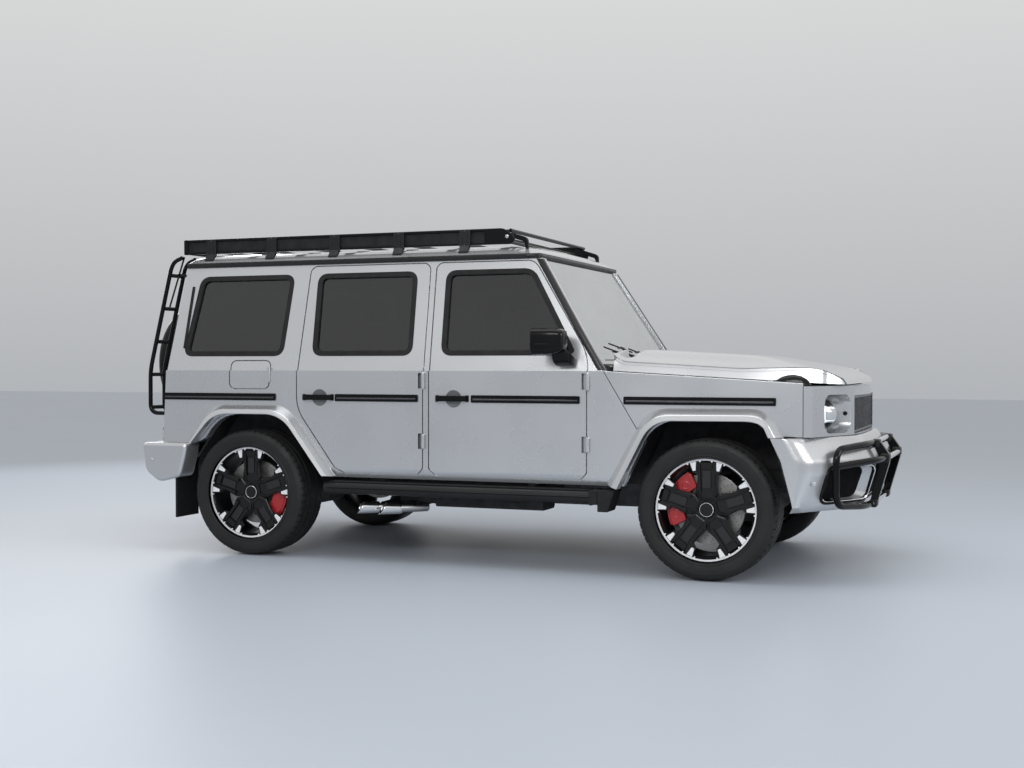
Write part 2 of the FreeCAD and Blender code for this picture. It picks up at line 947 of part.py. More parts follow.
def fuel_flap_outline():
    rear = REAR_AXLE - S.fuel_flap_rear
    return outline([
        (rear, S.fuel_flap_bottom, S.fuel_flap_round),
        (rear + S.fuel_flap_length, S.fuel_flap_bottom, S.fuel_flap_round),
        (rear + S.fuel_flap_length, S.fuel_flap_bottom + S.fuel_flap_height, S.fuel_flap_round),
        (rear, S.fuel_flap_bottom + S.fuel_flap_height, S.fuel_flap_round),
    ], flat=True)


# Body shell


def body_side():
    """Right wall: pillars, sill and quarter in one panel with rebated door openings."""
    base_x = FRONT_AXLE - S.pillar_base_to_axle
    silhouette = outline([
        (BODY_REAR, S.tail_bottom),
        (REAR_AXLE, S.tail_bottom),
        (REAR_AXLE, S.sill_bottom),
        (FRONT_AXLE - S.cowl_cut_end_back, S.sill_bottom),
        (FRONT_AXLE - S.cowl_cut_end_back, S.cowl_cut_end_height),
        (base_x, S.belt_height),
        (base_x - S.pillar_lean, S.gutter_height),
        (REAR_AXLE - S.tail_top_to_axle, S.gutter_height),
        (REAR_AXLE - S.tail_belt_to_axle, S.belt_height),
    ])
    wall = on_side(silhouette, 0, S.side_thickness)
    tools = []
    for shape in (front_door_outline(), rear_side_door_outline()):
        rebate = on_side(grown(shape, S.shut_gap), -S.cut_overrun, S.door_skin + S.shut_gap)
        hole = through_side(grown(shape, S.frame_gap - S.door_lip))
        tools.append(gather(rebate, hole))
    for shape in (quarter_glass_outline(), front_arch(), rear_arch()):
        tools.append(through_side(shape))
    return cut(wall, *tools)


def body_sides():
    wall = body_side()
    flap_hole = on_side(grown(fuel_flap_outline(), S.shut_gap), -S.cut_overrun, S.fuel_pocket_depth)
    node("body_side_right", cut(wall, flap_hole))
    node("body_side_left", mirrored(wall))


def roof_panel():
    """Roof with its gutter band, standing on both walls, and the header over the rear door."""
    half = S.gutter_half_width + S.roof_band_overhang
    shoulder = S.gutter_half_width - S.roof_shoulder_inset
    band_top = S.gutter_height + S.roof_band
    shoulder_z = S.gutter_height + S.roof_shoulder_rise
    crown_z = S.gutter_height + S.roof_crown
    outer = [
        (-half, S.gutter_height),
        (half, S.gutter_height),
        (half, band_top),
        (S.gutter_half_width - S.roof_band_overhang, band_top),
        (shoulder, shoulder_z, S.roof_round),
        (0, crown_z),
        (-shoulder, shoulder_z, S.roof_round),
        (S.roof_band_overhang - S.gutter_half_width, band_top),
        (-half, band_top),
    ]
    wall = S.roof_thickness
    inner = [
        (-(shoulder - wall), S.gutter_height - S.cut_overrun),
        (shoulder - wall, S.gutter_height - S.cut_overrun),
        (shoulder - wall, shoulder_z - wall),
        (0, crown_z - wall),
        (-(shoulder - wall), shoulder_z - wall),
    ]
    front = FRONT_AXLE - S.roof_lip_to_axle
    rear = REAR_AXLE - S.tail_top_to_axle
    skin = prism(outline(outer, "YZ"), rear, front)
    hollow = prism(outline(inner, "YZ"), rear + wall * 2, front - wall * 2)
    node("roof_panel", cut(skin, hollow))


def cavity(near):
    """The room between both walls, as a tool to trim what fits in it."""
    upper = S.body_half_width - S.belt_ledge - near
    low = S.body_half_width - near
    top = S.gutter_half_width - near
    return prism(outline([
        (-low, S.sill_bottom),
        (low, S.sill_bottom),
        (low, S.belt_height),
        (upper, S.belt_height),
        (top, S.gutter_height),
        (-top, S.gutter_height),
        (-upper, S.belt_height),
        (-low, S.belt_height),
    ], "YZ"), BODY_REAR - S.overall_length, BODY_FRONT + WHEELBASE)


def windscreen():
    """Flat screen between the leaning pillars, a little behind their front edges."""
    base_x = FRONT_AXLE - S.pillar_base_to_axle - S.screen_set_back
    top_x = base_x - S.pillar_lean
    pane = prism(outline([
        (base_x, S.belt_height),
        (top_x, S.gutter_height),
        (top_x - S.screen_thickness, S.gutter_height),
        (base_x - S.screen_thickness, S.belt_height),
    ]), -S.body_half_width, S.body_half_width)
    node("windscreen", common(pane, cavity(S.side_thickness + S.glass_fit)))


def quarter_windows():
    pane = on_side(grown(quarter_glass_outline(), -S.glass_fit), S.glass_depth,
                   S.glass_depth + S.glass_thickness)
    node("quarter_windows", pair(pane))


def floor_pan():
    """Floor, firewall, inner aprons and the four wheel houses as one pressing."""
    edge = S.body_half_width - S.side_thickness
    top = S.floor_bottom + S.floor_thickness
    rear = REAR_AXLE - S.floor_rear_to_axle
    wall_front = FRONT_AXLE - S.firewall_to_axle
    plate = block(rear, wall_front, -edge, edge, S.floor_bottom, top)
    firewall = block(wall_front - S.firewall_thickness, wall_front, -edge, edge, S.floor_bottom,
                     S.belt_height)
    tail = block(rear, rear + S.floor_thickness, -edge, edge, S.floor_bottom, S.tail_bottom)
    house = prism(grown(rear_arch(True), S.liner_gap + S.liner_thickness), -edge, -S.rear_house_inner)
    room = prism(grown(rear_arch(True), S.liner_gap), -(edge + S.cut_overrun),
                 -(S.rear_house_inner + S.liner_thickness))
    above = block(REAR_AXLE - WHEELBASE, REAR_AXLE + WHEELBASE, -S.flare_half_width, 0,
                  S.floor_bottom, S.gutter_height)
    house = common(house, above)
    apron_inner = S.apron_outer - S.apron_thickness
    apron = prism(outline([
        (wall_front - S.firewall_thickness, S.floor_bottom),
        (BODY_FRONT, S.floor_bottom),
        (BODY_FRONT, S.apron_top_front),
        (wall_front - S.firewall_thickness, S.belt_height - S.cut_overrun * 2),
    ]), -S.apron_outer, -apron_inner)
    liner_shell = prism(grown(front_arch(True), S.liner_gap + S.liner_thickness), -edge, -apron_inner)
    liner_room = prism(grown(front_arch(True), S.liner_gap), -(edge + S.cut_overrun), -S.apron_outer)
    liner_top = block(wall_front, BODY_FRONT, -S.flare_half_width, 0, S.floor_bottom,
                      S.gutter_height)
    liner = common(cut(liner_shell, liner_room), liner_top)
    room_left = mirrored(room)
    solid = fuse(plate, firewall, tail, house, mirrored(house), apron, mirrored(apron), liner,
                 mirrored(liner))
    node("floor_pan", cut(solid, room, room_left))


def fenders():
    """Front fenders with a rolled top ledge, cut to the slanting joint behind the wheel."""
    gap = S.seam
    base_x = FRONT_AXLE - S.pillar_base_to_axle + gap
    end_x = FRONT_AXLE - S.cowl_cut_end_back + gap
    silhouette = outline([
        (end_x, S.cowl_cut_end_height),
        (FRONT_AXLE, S.cowl_cut_end_height),
        (FRONT_AXLE, S.fender_foot_height),
        (BODY_FRONT - gap, S.fender_foot_height),
        (BODY_FRONT - gap, S.fender_nose_height),
        (base_x, S.belt_height),
    ])
    outer = -S.body_half_width
    wall = prism(silhouette, outer, outer + S.fender_ledge)
    under = outline([
        (base_x - S.cut_overrun, S.cowl_cut_end_height - S.cut_overrun),
        (BODY_FRONT + S.cut_overrun, S.cowl_cut_end_height - S.cut_overrun),
        (BODY_FRONT + S.cut_overrun, S.fender_nose_height - S.fender_ledge_thickness),
        (base_x - S.cut_overrun, S.belt_height - S.fender_ledge_thickness),
    ])
    hollow = prism(under, outer + S.fender_wall, outer + S.fender_ledge + S.cut_overrun)
    shell = cut(wall, hollow, through_side(front_arch()))
    node("fenders", pair(shell))


def fender_top(x):
    """Height of the fender's sloping top edge at one place along it."""
    base_x = FRONT_AXLE - S.pillar_base_to_axle + S.seam
    fall = (S.belt_height - S.fender_nose_height) / (BODY_FRONT - S.seam - base_x)
    return S.belt_height - fall * (x - base_x)


def bonnet_section(half, skirt, low):
    """One cross-section of the bonnet: side edge, side crown and raised middle."""
    dome = S.bonnet_dome_half_width
    step = S.cut_overrun
    right = [
        (-half, low),
        (-half + step, skirt + S.bonnet_skirt_rise),
        (-dome - step * 2, skirt + S.bonnet_side_crown),
        (-dome, skirt + S.bonnet_dome),
    ]
    return right + [(-y, z) for y, z in reversed(right)]


def bonnet_form(wall):
    """The bonnet's outer form, or the room inside it with a wall left round it."""
    rear = FRONT_AXLE - S.bonnet_rear_to_axle
    middle = FRONT_AXLE + S.bonnet_mid_to_axle
    tip = FRONT_AXLE + S.bonnet_tip_to_axle - wall
    half = S.bonnet_half_width - wall
    lids = []
    for x in (rear, middle):
        skirt = fender_top(x) + S.seam - wall
        lids.append(outline(bonnet_section(half, skirt, skirt), "YZ", x))
    skirt = fender_top(middle) + S.seam - wall
    low = S.bonnet_tip_height - wall
    section = prism(outline(bonnet_section(half, skirt, skirt), "YZ"), middle, tip)
    apron = prism(outline([(-half, low), (half, low), (half, skirt), (-half, skirt)], "YZ"),
                  middle, tip)
    profile = prism(outline([
        (middle, skirt),
        (BODY_FRONT, S.fender_nose_height + S.seam - wall),
        (tip, low),
        (tip, low + S.bonnet_tip_rise),
        (BODY_FRONT + S.cowl_depth, S.bonnet_nose_height - wall),
        (middle, skirt + S.bonnet_dome),
    ]), -half, half)
    plan = prism(outline([
        (middle, -half),
        (BODY_FRONT + S.cowl_depth, -(half - S.bonnet_nose_taper)),
        (tip, -(S.bonnet_tip_half_width - wall)),
        (tip, S.bonnet_tip_half_width - wall),
        (BODY_FRONT + S.cowl_depth, half - S.bonnet_nose_taper),
        (middle, half),
    ], "XY"), low - S.cut_overrun, S.gutter_height)
    return fuse(loft(lids), common(fuse(section, apron), profile, plan))


BONNET_HINGE_X = FRONT_AXLE - S.bonnet_rear_to_axle - S.hinge_offset


def bonnet():
    """Clamshell bonnet with its two hinge barrels under the rear edge."""
    pieces = [cut(bonnet_form(as_size(0)), bonnet_form(S.bonnet_thickness))]
    x = BONNET_HINGE_X
    z = S.bonnet_hinge_height
    for y, barrel in ((-S.bonnet_dome_half_width, rod),
                      (S.bonnet_dome_half_width - S.hinge_length, bar)):
        pieces.append(barrel(x, y, z, S.hinge_radius, S.hinge_length, "y"))
        pieces.append(block(x, x + S.hinge_leaf, y, y + S.hinge_length, z, z + S.hinge_leaf * 2))
    node("bonnet", fuse(*pieces))


def cowl():
    """Black panel under the windscreen, with the seats of the bonnet's two hinges."""
    front = FRONT_AXLE - S.pillar_base_to_axle
    rear = front - S.screen_set_back + S.panel_gap
    lean = S.pillar_lean * S.cowl_thickness / (S.gutter_height - S.belt_height)
    panel = prism(outline([
        (rear, S.belt_height),
        (front + S.panel_gap, S.belt_height),
        (front - S.cowl_lip, S.belt_height + S.cowl_thickness),
        (rear - lean, S.belt_height + S.cowl_thickness),
    ]), -S.body_half_width, S.body_half_width)
    y = -S.bonnet_dome_half_width
    seat = block(front - S.cowl_lip * 2, BONNET_HINGE_X, y, y + S.hinge_length, S.belt_height,
                 S.bonnet_hinge_height - S.hinge_radius - S.panel_gap)
    panel = common(panel, cavity(S.side_thickness + S.panel_gap))
    node("cowl", fuse(panel, seat, mirrored(seat)))


def front_panel():
    """Swept front panel with the lamp recesses and the grille opening."""
    def plan(back):
        return [
            (BODY_FRONT, -(S.body_half_width - back)),
            (FRONT_AXLE + S.nose_corner_to_axle - back, -(S.nose_corner_half_width - back)),
            (FRONT_AXLE + S.nose_turn_to_axle - back, -S.nose_turn_half_width),
            (FRONT_AXLE + S.nose_to_axle - back, 0),
            (FRONT_AXLE + S.nose_turn_to_axle - back, S.nose_turn_half_width),
            (FRONT_AXLE + S.nose_corner_to_axle - back, S.nose_corner_half_width - back),
            (BODY_FRONT, S.body_half_width - back),
        ]
    skin = prism(outline(plan(as_size(0)), "XY"), S.nose_bottom, S.nose_top)
    inside = plan(S.nose_thickness)
    inside[0] = (BODY_FRONT - S.cut_overrun, inside[0][1])
    inside[-1] = (BODY_FRONT - S.cut_overrun, inside[-1][1])
    hollow = prism(outline(inside, "XY"), S.nose_bottom - S.cut_overrun,
                   S.nose_top + S.cut_overrun)
    shelf = prism(outline(plan(as_size(0)), "XY"), S.nose_bottom, S.nose_bottom + S.nose_shelf)
    grille_hole = block(BODY_FRONT, FRONT_AXLE + S.bumper_to_axle, -S.grille_half_width,
                        S.grille_half_width, S.grille_bottom, S.grille_top)
    recess = prism(lamp_recess(), BODY_FRONT, FRONT_AXLE + S.bumper_to_axle)
    shell = cut(skin, hollow, grille_hole, recess, mirrored(recess))
    node("front_panel", fuse(shell, shelf))


def lamp_recess():
    return outline([
        (-S.lamp_recess_outer, S.lamp_recess_bottom, S.lamp_recess_round),
        (-S.lamp_recess_inner, S.lamp_recess_bottom, S.lamp_recess_round),
        (-S.lamp_recess_inner, S.lamp_recess_top, S.lamp_recess_round),
        (-S.lamp_recess_outer, S.lamp_recess_top, S.lamp_recess_round),
    ], "YZ", flat=True)


def grille():
    """Frame with upright bars on both sides of a bare middle."""
    front = FRONT_AXLE + S.nose_turn_to_axle - S.panel_gap
    rear = front - S.grille_depth
    half = S.grille_half_width - S.panel_gap
    low = S.grille_bottom + S.panel_gap
    high = S.grille_top - S.panel_gap
    ring = cut(block(rear, front, -half, half, low, high),
               block(rear - S.cut_overrun, front + S.cut_overrun, S.grille_frame - half,
                     half - S.grille_frame, low + S.grille_frame, high - S.grille_frame))
    bars = []
    pitch = half * 2 / (S.grille_bars * 2 + 1)
    count = int(S.grille_bars.value) * 2
    for i in range(count):
        y = -half + pitch * (i + 1)
        bars.append(block(rear, front, y - S.grille_bar / 2, y + S.grille_bar / 2,
                          low + S.grille_frame / 2, high - S.grille_frame / 2))
    node("grille", fuse(ring, *bars))


def front_lamps():
    """Round headlamps in their recesses and the domed indicators on the fenders."""
    face = FRONT_AXLE + S.lamp_face_to_axle
    lamp = bar(face - S.lamp_depth, -S.lamp_centre, S.lamp_height, S.lamp_radius, S.lamp_depth,
               "x", S.disc_sides)
    back = prism(grown(lamp_recess(), -S.panel_gap), face - S.lamp_depth - S.bonnet_thickness,
                 face - S.lamp_depth)
    foot = FRONT_AXLE + S.indicator_to_axle
    y = -(S.body_half_width - S.fender_ledge / 2)
    dome = prism(outline([
        (foot, S.fender_nose_height),
        (foot + S.indicator_length, S.fender_nose_height),
        (foot + S.indicator_length * S.indicator_top_front_share, S.fender_nose_height + S.indicator_height),
        (foot + S.indicator_length * S.indicator_top_rear_share, S.fender_nose_height + S.indicator_height),
    ]), y - S.indicator_width / 2, y + S.indicator_width / 2)
    base_x = FRONT_AXLE - S.pillar_base_to_axle + S.seam
    edge = BODY_FRONT - S.seam
    body = cut(dome, prism(outline([
        (base_x, S.nose_bottom),
        (BODY_FRONT + S.indicator_length, S.nose_bottom),
        (BODY_FRONT + S.indicator_length, S.fender_nose_height + S.panel_gap),
        (edge, S.fender_nose_height + S.panel_gap),
        (base_x, S.belt_height + S.panel_gap),
    ]), -S.body_half_width, 0))
    node("front_lamps", gather(fuse(lamp, back), mirrored(fuse(lamp, back)), pair(body)))


def bumper_plan(back, wall, height):
    """The front bumper seen from above at one height, moved back and made smaller."""
    side = S.bumper_side_half_width - wall
    inward = back + wall
    right = [
        (FRONT_AXLE + S.bumper_end_to_axle - inward, -side),
        (FRONT_AXLE + S.bumper_side_to_axle - inward, -side),
        (FRONT_AXLE + S.bumper_mid_to_axle - inward, -S.bumper_mid_half_width),
        (FRONT_AXLE + S.bumper_turn_to_axle - inward, -S.bumper_turn_half_width),
    ]
    return outline(right + [(x, -y) for x, y in reversed(right)], "XY", height)


def front_bumper():
    """Bumper shell with two side intakes and a middle one."""
    zero = as_size(0)
    skin = loft([
        bumper_plan(S.bumper_chin, zero, S.bumper_bottom),
        bumper_plan(zero, zero, S.bumper_chin_height),
        bumper_plan(zero, zero, S.bumper_shoulder),
        bumper_plan(S.bumper_set_back, zero, S.bumper_top),
    ])
    wall = S.bumper_wall
    hollow = loft([
        bumper_plan(S.bumper_chin, wall, S.bumper_bottom - S.cut_overrun),
        bumper_plan(zero, wall, S.bumper_chin_height),
        bumper_plan(zero, wall, S.bumper_shoulder),
        bumper_plan(S.bumper_set_back, wall, S.bumper_top + S.cut_overrun),
    ])
    back = block(FRONT_AXLE, FRONT_AXLE + S.bumper_side_to_axle - wall, -S.apron_outer - wall,
                 S.apron_outer + wall, S.bumper_bottom - S.cut_overrun,
                 S.bumper_top + S.cut_overrun)
    side = outline([
        (-S.intake_outer, S.intake_bottom, S.intake_round),
        (-S.intake_inner, S.intake_bottom, S.intake_round),
        (-S.intake_inner, S.intake_top, S.intake_round),
        (-S.intake_outer, S.intake_top, S.intake_round),
    ], "YZ", flat=True)
    far = FRONT_AXLE + S.bumper_to_axle + S.cut_overrun
    intake = prism(side, FRONT_AXLE, far)
    middle = prism(outline([
        (-S.mid_intake_half_width, S.intake_bottom, S.intake_round),
        (S.mid_intake_half_width, S.intake_bottom, S.intake_round),
        (S.mid_intake_half_width, S.intake_top, S.intake_round),
        (-S.mid_intake_half_width, S.intake_top, S.intake_round),
    ], "YZ", flat=True), FRONT_AXLE, far)
    arch = through_side(front_arch())
    node("front_bumper", cut(skin, hollow, back, intake, mirrored(intake), middle, arch,
                             mirrored(arch)))


def brush_guard():
    """Bent tubes in front of the bumper: a loop on each side, held by two posts."""
    outer_x = FRONT_AXLE + S.guard_outer_to_axle
    top_x = FRONT_AXLE + S.guard_top_to_axle
    middle_x = FRONT_AXLE + S.guard_inner_to_axle
    low_x = FRONT_AXLE + S.guard_bottom_to_axle
    elbow = S.guard_elbow
    radius = S.guard_tube_radius
    side = tube([
        (top_x, -S.guard_inner, S.guard_top),
        (top_x - S.guard_sweep, -elbow, S.guard_top),
        (outer_x, -S.guard_outer, S.guard_shoulder),
        (outer_x, -S.guard_outer, S.guard_foot),
        (low_x - S.guard_sweep, -elbow, S.guard_bottom),
        (low_x, -S.guard_inner, S.guard_bottom),
    ], radius, S.guard_bend)
    rail = tube([
        (middle_x, -S.guard_inner, S.guard_mid),
        (middle_x - S.guard_sweep, -elbow, S.guard_mid),
        (outer_x, -S.guard_outer, S.guard_mid - S.guard_drop),
    ], radius, S.guard_bend)
    half = S.guard_inner
    bars = [bar(x, -half, z, radius, half * 2, "y", S.tube_sides)
            for x, z in ((top_x, S.guard_top), (middle_x, S.guard_mid), (low_x, S.guard_bottom))]
    post = prism(outline([
        (low_x - radius, S.guard_bottom - radius),
        (low_x + radius, S.guard_bottom - radius),
        (middle_x + radius, S.guard_mid - radius),
        (middle_x + radius, S.guard_mid + radius),
        (top_x + radius, S.guard_top + radius),
        (top_x - radius, S.guard_top + radius),
        (middle_x - radius * 2, S.guard_mid),
    ]), -S.guard_inner - S.guard_post_width / 2, -S.guard_inner + S.guard_post_width / 2)
    face = FRONT_AXLE + S.bumper_turn_to_axle + S.panel_gap
    foot = block(face, middle_x, -S.guard_inner - radius, -S.guard_inner + radius,
                 S.intake_top + S.panel_gap, S.bumper_shoulder - S.panel_gap)
    node("brush_guard", fuse(side, mirrored(side), rail, mirrored(rail), post, mirrored(post),
                             foot, mirrored(foot), *bars))


# Rear end


def rear_slab(near, deep):
    """Rear wall between two depths in front of its outer face, as wide as the vehicle."""
    belt_x = REAR_AXLE - S.tail_belt_to_axle
    top_x = REAR_AXLE - S.tail_top_to_axle
    return prism(outline([
        (BODY_REAR + near, S.tail_bottom),
        (BODY_REAR + deep, S.tail_bottom),
        (belt_x + deep, S.belt_height),
        (top_x + deep, S.gutter_height),
        (top_x + near, S.gutter_height),
        (belt_x + near, S.belt_height),
    ]), -S.body_half_width, S.body_half_width)


def through_rear(sketch):
    """A tool that cuts an outline through the rear wall."""
    return prism(sketch, BODY_REAR - S.side_thickness, REAR_AXLE)


def on_rear(sketch, near, deep):
    """An outline on the rear wall, between two depths from its outer face."""
    return common(through_rear(sketch), rear_slab(near, deep))


def rear_door_outline():
    low = S.rear_door_half_width
    high = S.rear_door_top_half_width
    top = S.gutter_height - S.rear_door_top_gap
    return outline([
        (-low, S.rear_door_bottom, S.door_corner),
        (low, S.rear_door_bottom, S.door_corner),
        (low, S.belt_height, S.door_corner),
        (high, top, S.door_top_corner),
        (-high, top, S.door_top_corner),
        (-low, S.belt_height, S.door_corner),
    ], "YZ", flat=True)


def rear_window_outline():
    low = S.rear_glass_half_width
    high = S.rear_glass_top_half_width
    return outline([
        (-low, S.glass_bottom, S.glass_round),
        (low, S.glass_bottom, S.glass_round),
        (high, S.rear_glass_top, S.glass_round),
        (-high, S.rear_glass_top, S.glass_round),
    ], "YZ", flat=True)


def rear_frame():
    """Pillars, sill and header round the rear door, between the two body sides."""
    ring = common(rear_slab(0, S.side_thickness), cavity(S.side_thickness))
    rebate = on_rear(grown(rear_door_outline(), S.shut_gap), -S.cut_overrun,
                     S.door_skin + S.shut_gap)
    hole = through_rear(grown(rear_door_outline(), S.frame_gap - S.door_lip))
    node("rear_frame", cut(ring, rebate, hole))


def rear_bumper():
    """Rear bumper wrapped round both corners, closed on top."""
    rear = REAR_AXLE - S.rear_bumper_to_axle
    side = REAR_AXLE - S.rear_bumper_side_to_axle
    corner = S.rear_bumper_corner
    half = S.rear_bumper_half_width

    def plan(back, height):
        right = [
            (side, -(half - back)),
            (rear + corner, -(half - back)),
            (rear + back, -(half - corner - back)),
        ]
        return outline(right + [(x, -y) for x, y in reversed(right)], "XY", height)

    skin = loft([plan(S.rear_bumper_tuck, S.rear_bumper_bottom),
                 plan(as_size(0), S.rear_bumper_bottom + S.rear_bumper_tuck * 2),
                 plan(as_size(0), S.tail_bottom)])
    wall = S.bumper_wall
    hollow = prism(outline([
        (rear + wall + S.rear_bumper_tuck, -(half - wall)),
        (REAR_AXLE, -(half - wall)),
        (REAR_AXLE, half - wall),
        (rear + wall + S.rear_bumper_tuck, half - wall),
    ], "XY"), S.rear_bumper_bottom - S.cut_overrun, S.tail_bottom - S.bonnet_thickness)
    body_room = block(BODY_REAR + S.panel_gap, REAR_AXLE, -(S.body_half_width - S.side_thickness),
                      S.body_half_width - S.side_thickness, S.rear_bumper_bottom - S.cut_overrun,
                      S.tail_bottom + S.cut_overrun)
    arch = through_side(rear_arch())
    node("rear_bumper", cut(skin, hollow, body_room, arch, mirrored(arch)))


def tail_lamps():
    rear = BODY_REAR - S.tail_lamp_length
    lamp = block(rear, BODY_REAR - S.panel_gap, -S.tail_lamp_outer, -S.tail_lamp_inner,
                 S.tail_bottom + S.panel_gap, S.tail_bottom + S.tail_lamp_height)
    node("tail_lamps", pair(lamp))


# Trim and equipment outside


def one_flare(arch, low_front, low_rear, axle):
    """A broad lip round one arch: upright face outside, sloping back to the body."""
    band = S.flare_face + S.flare_slope
    near = outline_at(grown(arch(), S.flare_face), -S.flare_half_width)
    foot = outline_at(grown(arch(), band), -S.body_half_width)
    solid = loft([near, foot])
    far = WHEELBASE / 2
    front = block(axle, axle + far, -BEYOND, 0, low_front, S.belt_height)
    rear = block(axle - far, axle, -BEYOND, 0, low_rear, S.belt_height)
    return cut(common(solid, gather(front, rear)), through_side(arch()))


def outline_at(ring, level):
    """An offset outline moved to another level along Y."""
    bind(ring.Source, "Placement.Base.y", level)
    return ring


def arch_flares():
    front = one_flare(front_arch, S.bumper_top, S.flare_foot, FRONT_AXLE)
    rear = one_flare(rear_arch, S.flare_foot, S.tail_bottom, REAR_AXLE)
    node("arch_flares", gather(front, mirrored(front), rear, mirrored(rear)))


def running_boards():
    """A step on each side on brackets under the chassis rails."""
    front = FRONT_AXLE - S.board_front_to_axle
    rear = REAR_AXLE + S.board_rear_to_axle
    step = prism(outline([
        (-S.board_outer, S.board_bottom, S.board_round),
        (-S.board_inner, S.board_bottom),
        (-S.board_inner, S.board_top),
        (-S.board_outer, S.board_top, S.board_round),
    ], "YZ", flat=True), rear, front)
    brackets = []
    count = int(S.board_brackets.value)
    pitch = (front - rear) / count
    for i in range(count):
        middle = rear + pitch / 2 + pitch * i
        brackets.append(block(middle - S.bracket_width / 2, middle + S.bracket_width / 2,
                              -S.board_inner, -S.rail_inner, S.rail_bottom - S.bracket_height,
                              S.rail_bottom))
    side = fuse(step, *brackets)
    node("running_boards", pair(side))


def mud_flaps():
    x = REAR_AXLE - S.flap_to_axle
    outer = S.rear_bumper_half_width - S.bumper_wall - S.panel_gap
    rear_flap = block(x - S.flap_thickness, x, -outer, -S.flap_inner, S.flap_bottom, S.flap_top)
    front = FRONT_AXLE - S.board_front_to_axle + S.panel_gap
    front_flap = prism(outline([
        (front, S.board_bottom - S.front_flap_drop),
        (front + S.front_flap_foot, S.board_bottom - S.front_flap_drop),
        (front + S.front_flap_length, S.flare_foot - S.panel_gap),
        (front, S.flare_foot - S.panel_gap),
    ]), -S.board_outer, -(S.board_outer - S.front_flap_width))
    node("mud_flaps", gather(rear_flap, mirrored(rear_flap), front_flap, mirrored(front_flap)))


def exhaust():
    """Side mufflers under the steps, each with two bright slash-cut tips."""
    front = FRONT_AXLE - WHEELBASE * S.muffler_front_share
    rear = front - WHEELBASE * S.muffler_share
    half = S.muffler_half_width
    y = -(half - S.muffler_width / 2)
    box = prism(outline([
        (-half, S.muffler_bottom, S.board_round),
        (-(half - S.muffler_width), S.muffler_bottom, S.board_round),
        (-(half - S.muffler_width), S.rail_bottom - S.bracket_height - S.muffler_gap,
         S.board_round),
        (-half, S.rail_bottom - S.bracket_height - S.muffler_gap, S.board_round),
    ], "YZ", flat=True), rear, front)
    pieces = [box]
    height = S.muffler_bottom + S.pipe_radius + S.muffler_gap
    pitch = S.pipe_radius * S.pipe_pitch_share
    for start_y, i in ((y - pitch, 0), (y + pitch, 1)):
        end_x = rear - S.tip_from_muffler + S.tip_spread * i
        end_y = -S.tip_half_width
        root_x = end_x + S.tip_length
        root_y = end_y + S.tip_sweep
        turn = S.tip_length * S.pipe_turn_share
        pipe = tube([(rear, start_y, height), (root_x + S.tip_length, start_y, height),
                     (root_x + turn, root_y + S.tip_sweep * S.pipe_turn_share, S.tip_height),
                     (root_x - S.tip_wall, root_y - S.tip_wall, S.tip_height)],
                    S.pipe_radius, S.pipe_radius * S.pipe_bend_share)
        tip = straight_tube((root_x, root_y), (end_x, end_y), S.tip_radius)
        bore = straight_tube((root_x - S.tip_wall, root_y - S.tip_wall * 2),
                             (end_x - S.tip_wall, end_y - S.tip_wall * 2),
                             S.tip_radius - S.tip_wall)
        pieces += [pipe, cut(tip, bore)]
    hanger = block(front - S.bracket_width, front, -half + S.board_round, -S.rail_inner,
                   S.rail_bottom - S.bracket_height - S.muffler_gap, S.rail_bottom)
    side = fuse(*pieces, hanger)
    node("exhaust", pair(side))


def straight_tube(start, end, radius):
    """A round bar between two places at the height of the exhaust tips."""
    return tube([(start[0], start[1], S.tip_height), (end[0], end[1], S.tip_height)], radius,
                radius, S.bar_sides)


def roof_rack():
    """Long flat rack: two side rails, cross slats, and feet down to the gutter band."""
    rear = REAR_AXLE - S.rack_rear_to_axle
    front = FRONT_AXLE - S.roof_lip_to_axle - S.rack_behind_roof_lip
    half = S.rack_half_width
    rail = block(rear, front, -half, -(half - S.rack_rail), S.rack_bottom, S.rack_top)
    pieces = [rail, mirrored(rail)]
    count = int(S.rack_slats.value)
    pitch = (front - rear - S.rack_slat_width) / (count - 1)
    deck = S.rack_top - S.rack_deck_drop
    for i in range(count):
        x = rear + pitch * i
        pieces.append(block(x, x + S.rack_slat_width, -(half - S.rack_rail / 2),
                            half - S.rack_rail / 2, deck - S.rack_slat_thickness, deck))
    band_top = S.gutter_height + S.roof_band + S.panel_gap
    band_out = S.gutter_half_width + S.roof_band_overhang
    shoulder = S.gutter_half_width - S.roof_shoulder_inset
    feet = int(S.rack_feet.value)
    foot_pitch = (front - rear - S.rack_foot_length * 2 - S.rack_foot_front) / (feet - 1)
    for i in range(feet):
        x = rear + S.rack_foot_length + foot_pitch * i
        foot = prism(outline([
            (-band_out, band_top),
            (-S.gutter_half_width, band_top),
            (-(shoulder + S.rack_clear), S.gutter_height + S.roof_shoulder_rise + S.rack_clear),
            (-half, S.rack_bottom),
            (-half, S.rack_top),
            (-(half + S.rack_rail / 2), S.rack_top),
        ], "YZ"), x, x + S.rack_foot_length)
        pieces += [foot, mirrored(foot)]
    node("roof_rack", fuse(*pieces))


# Underneath


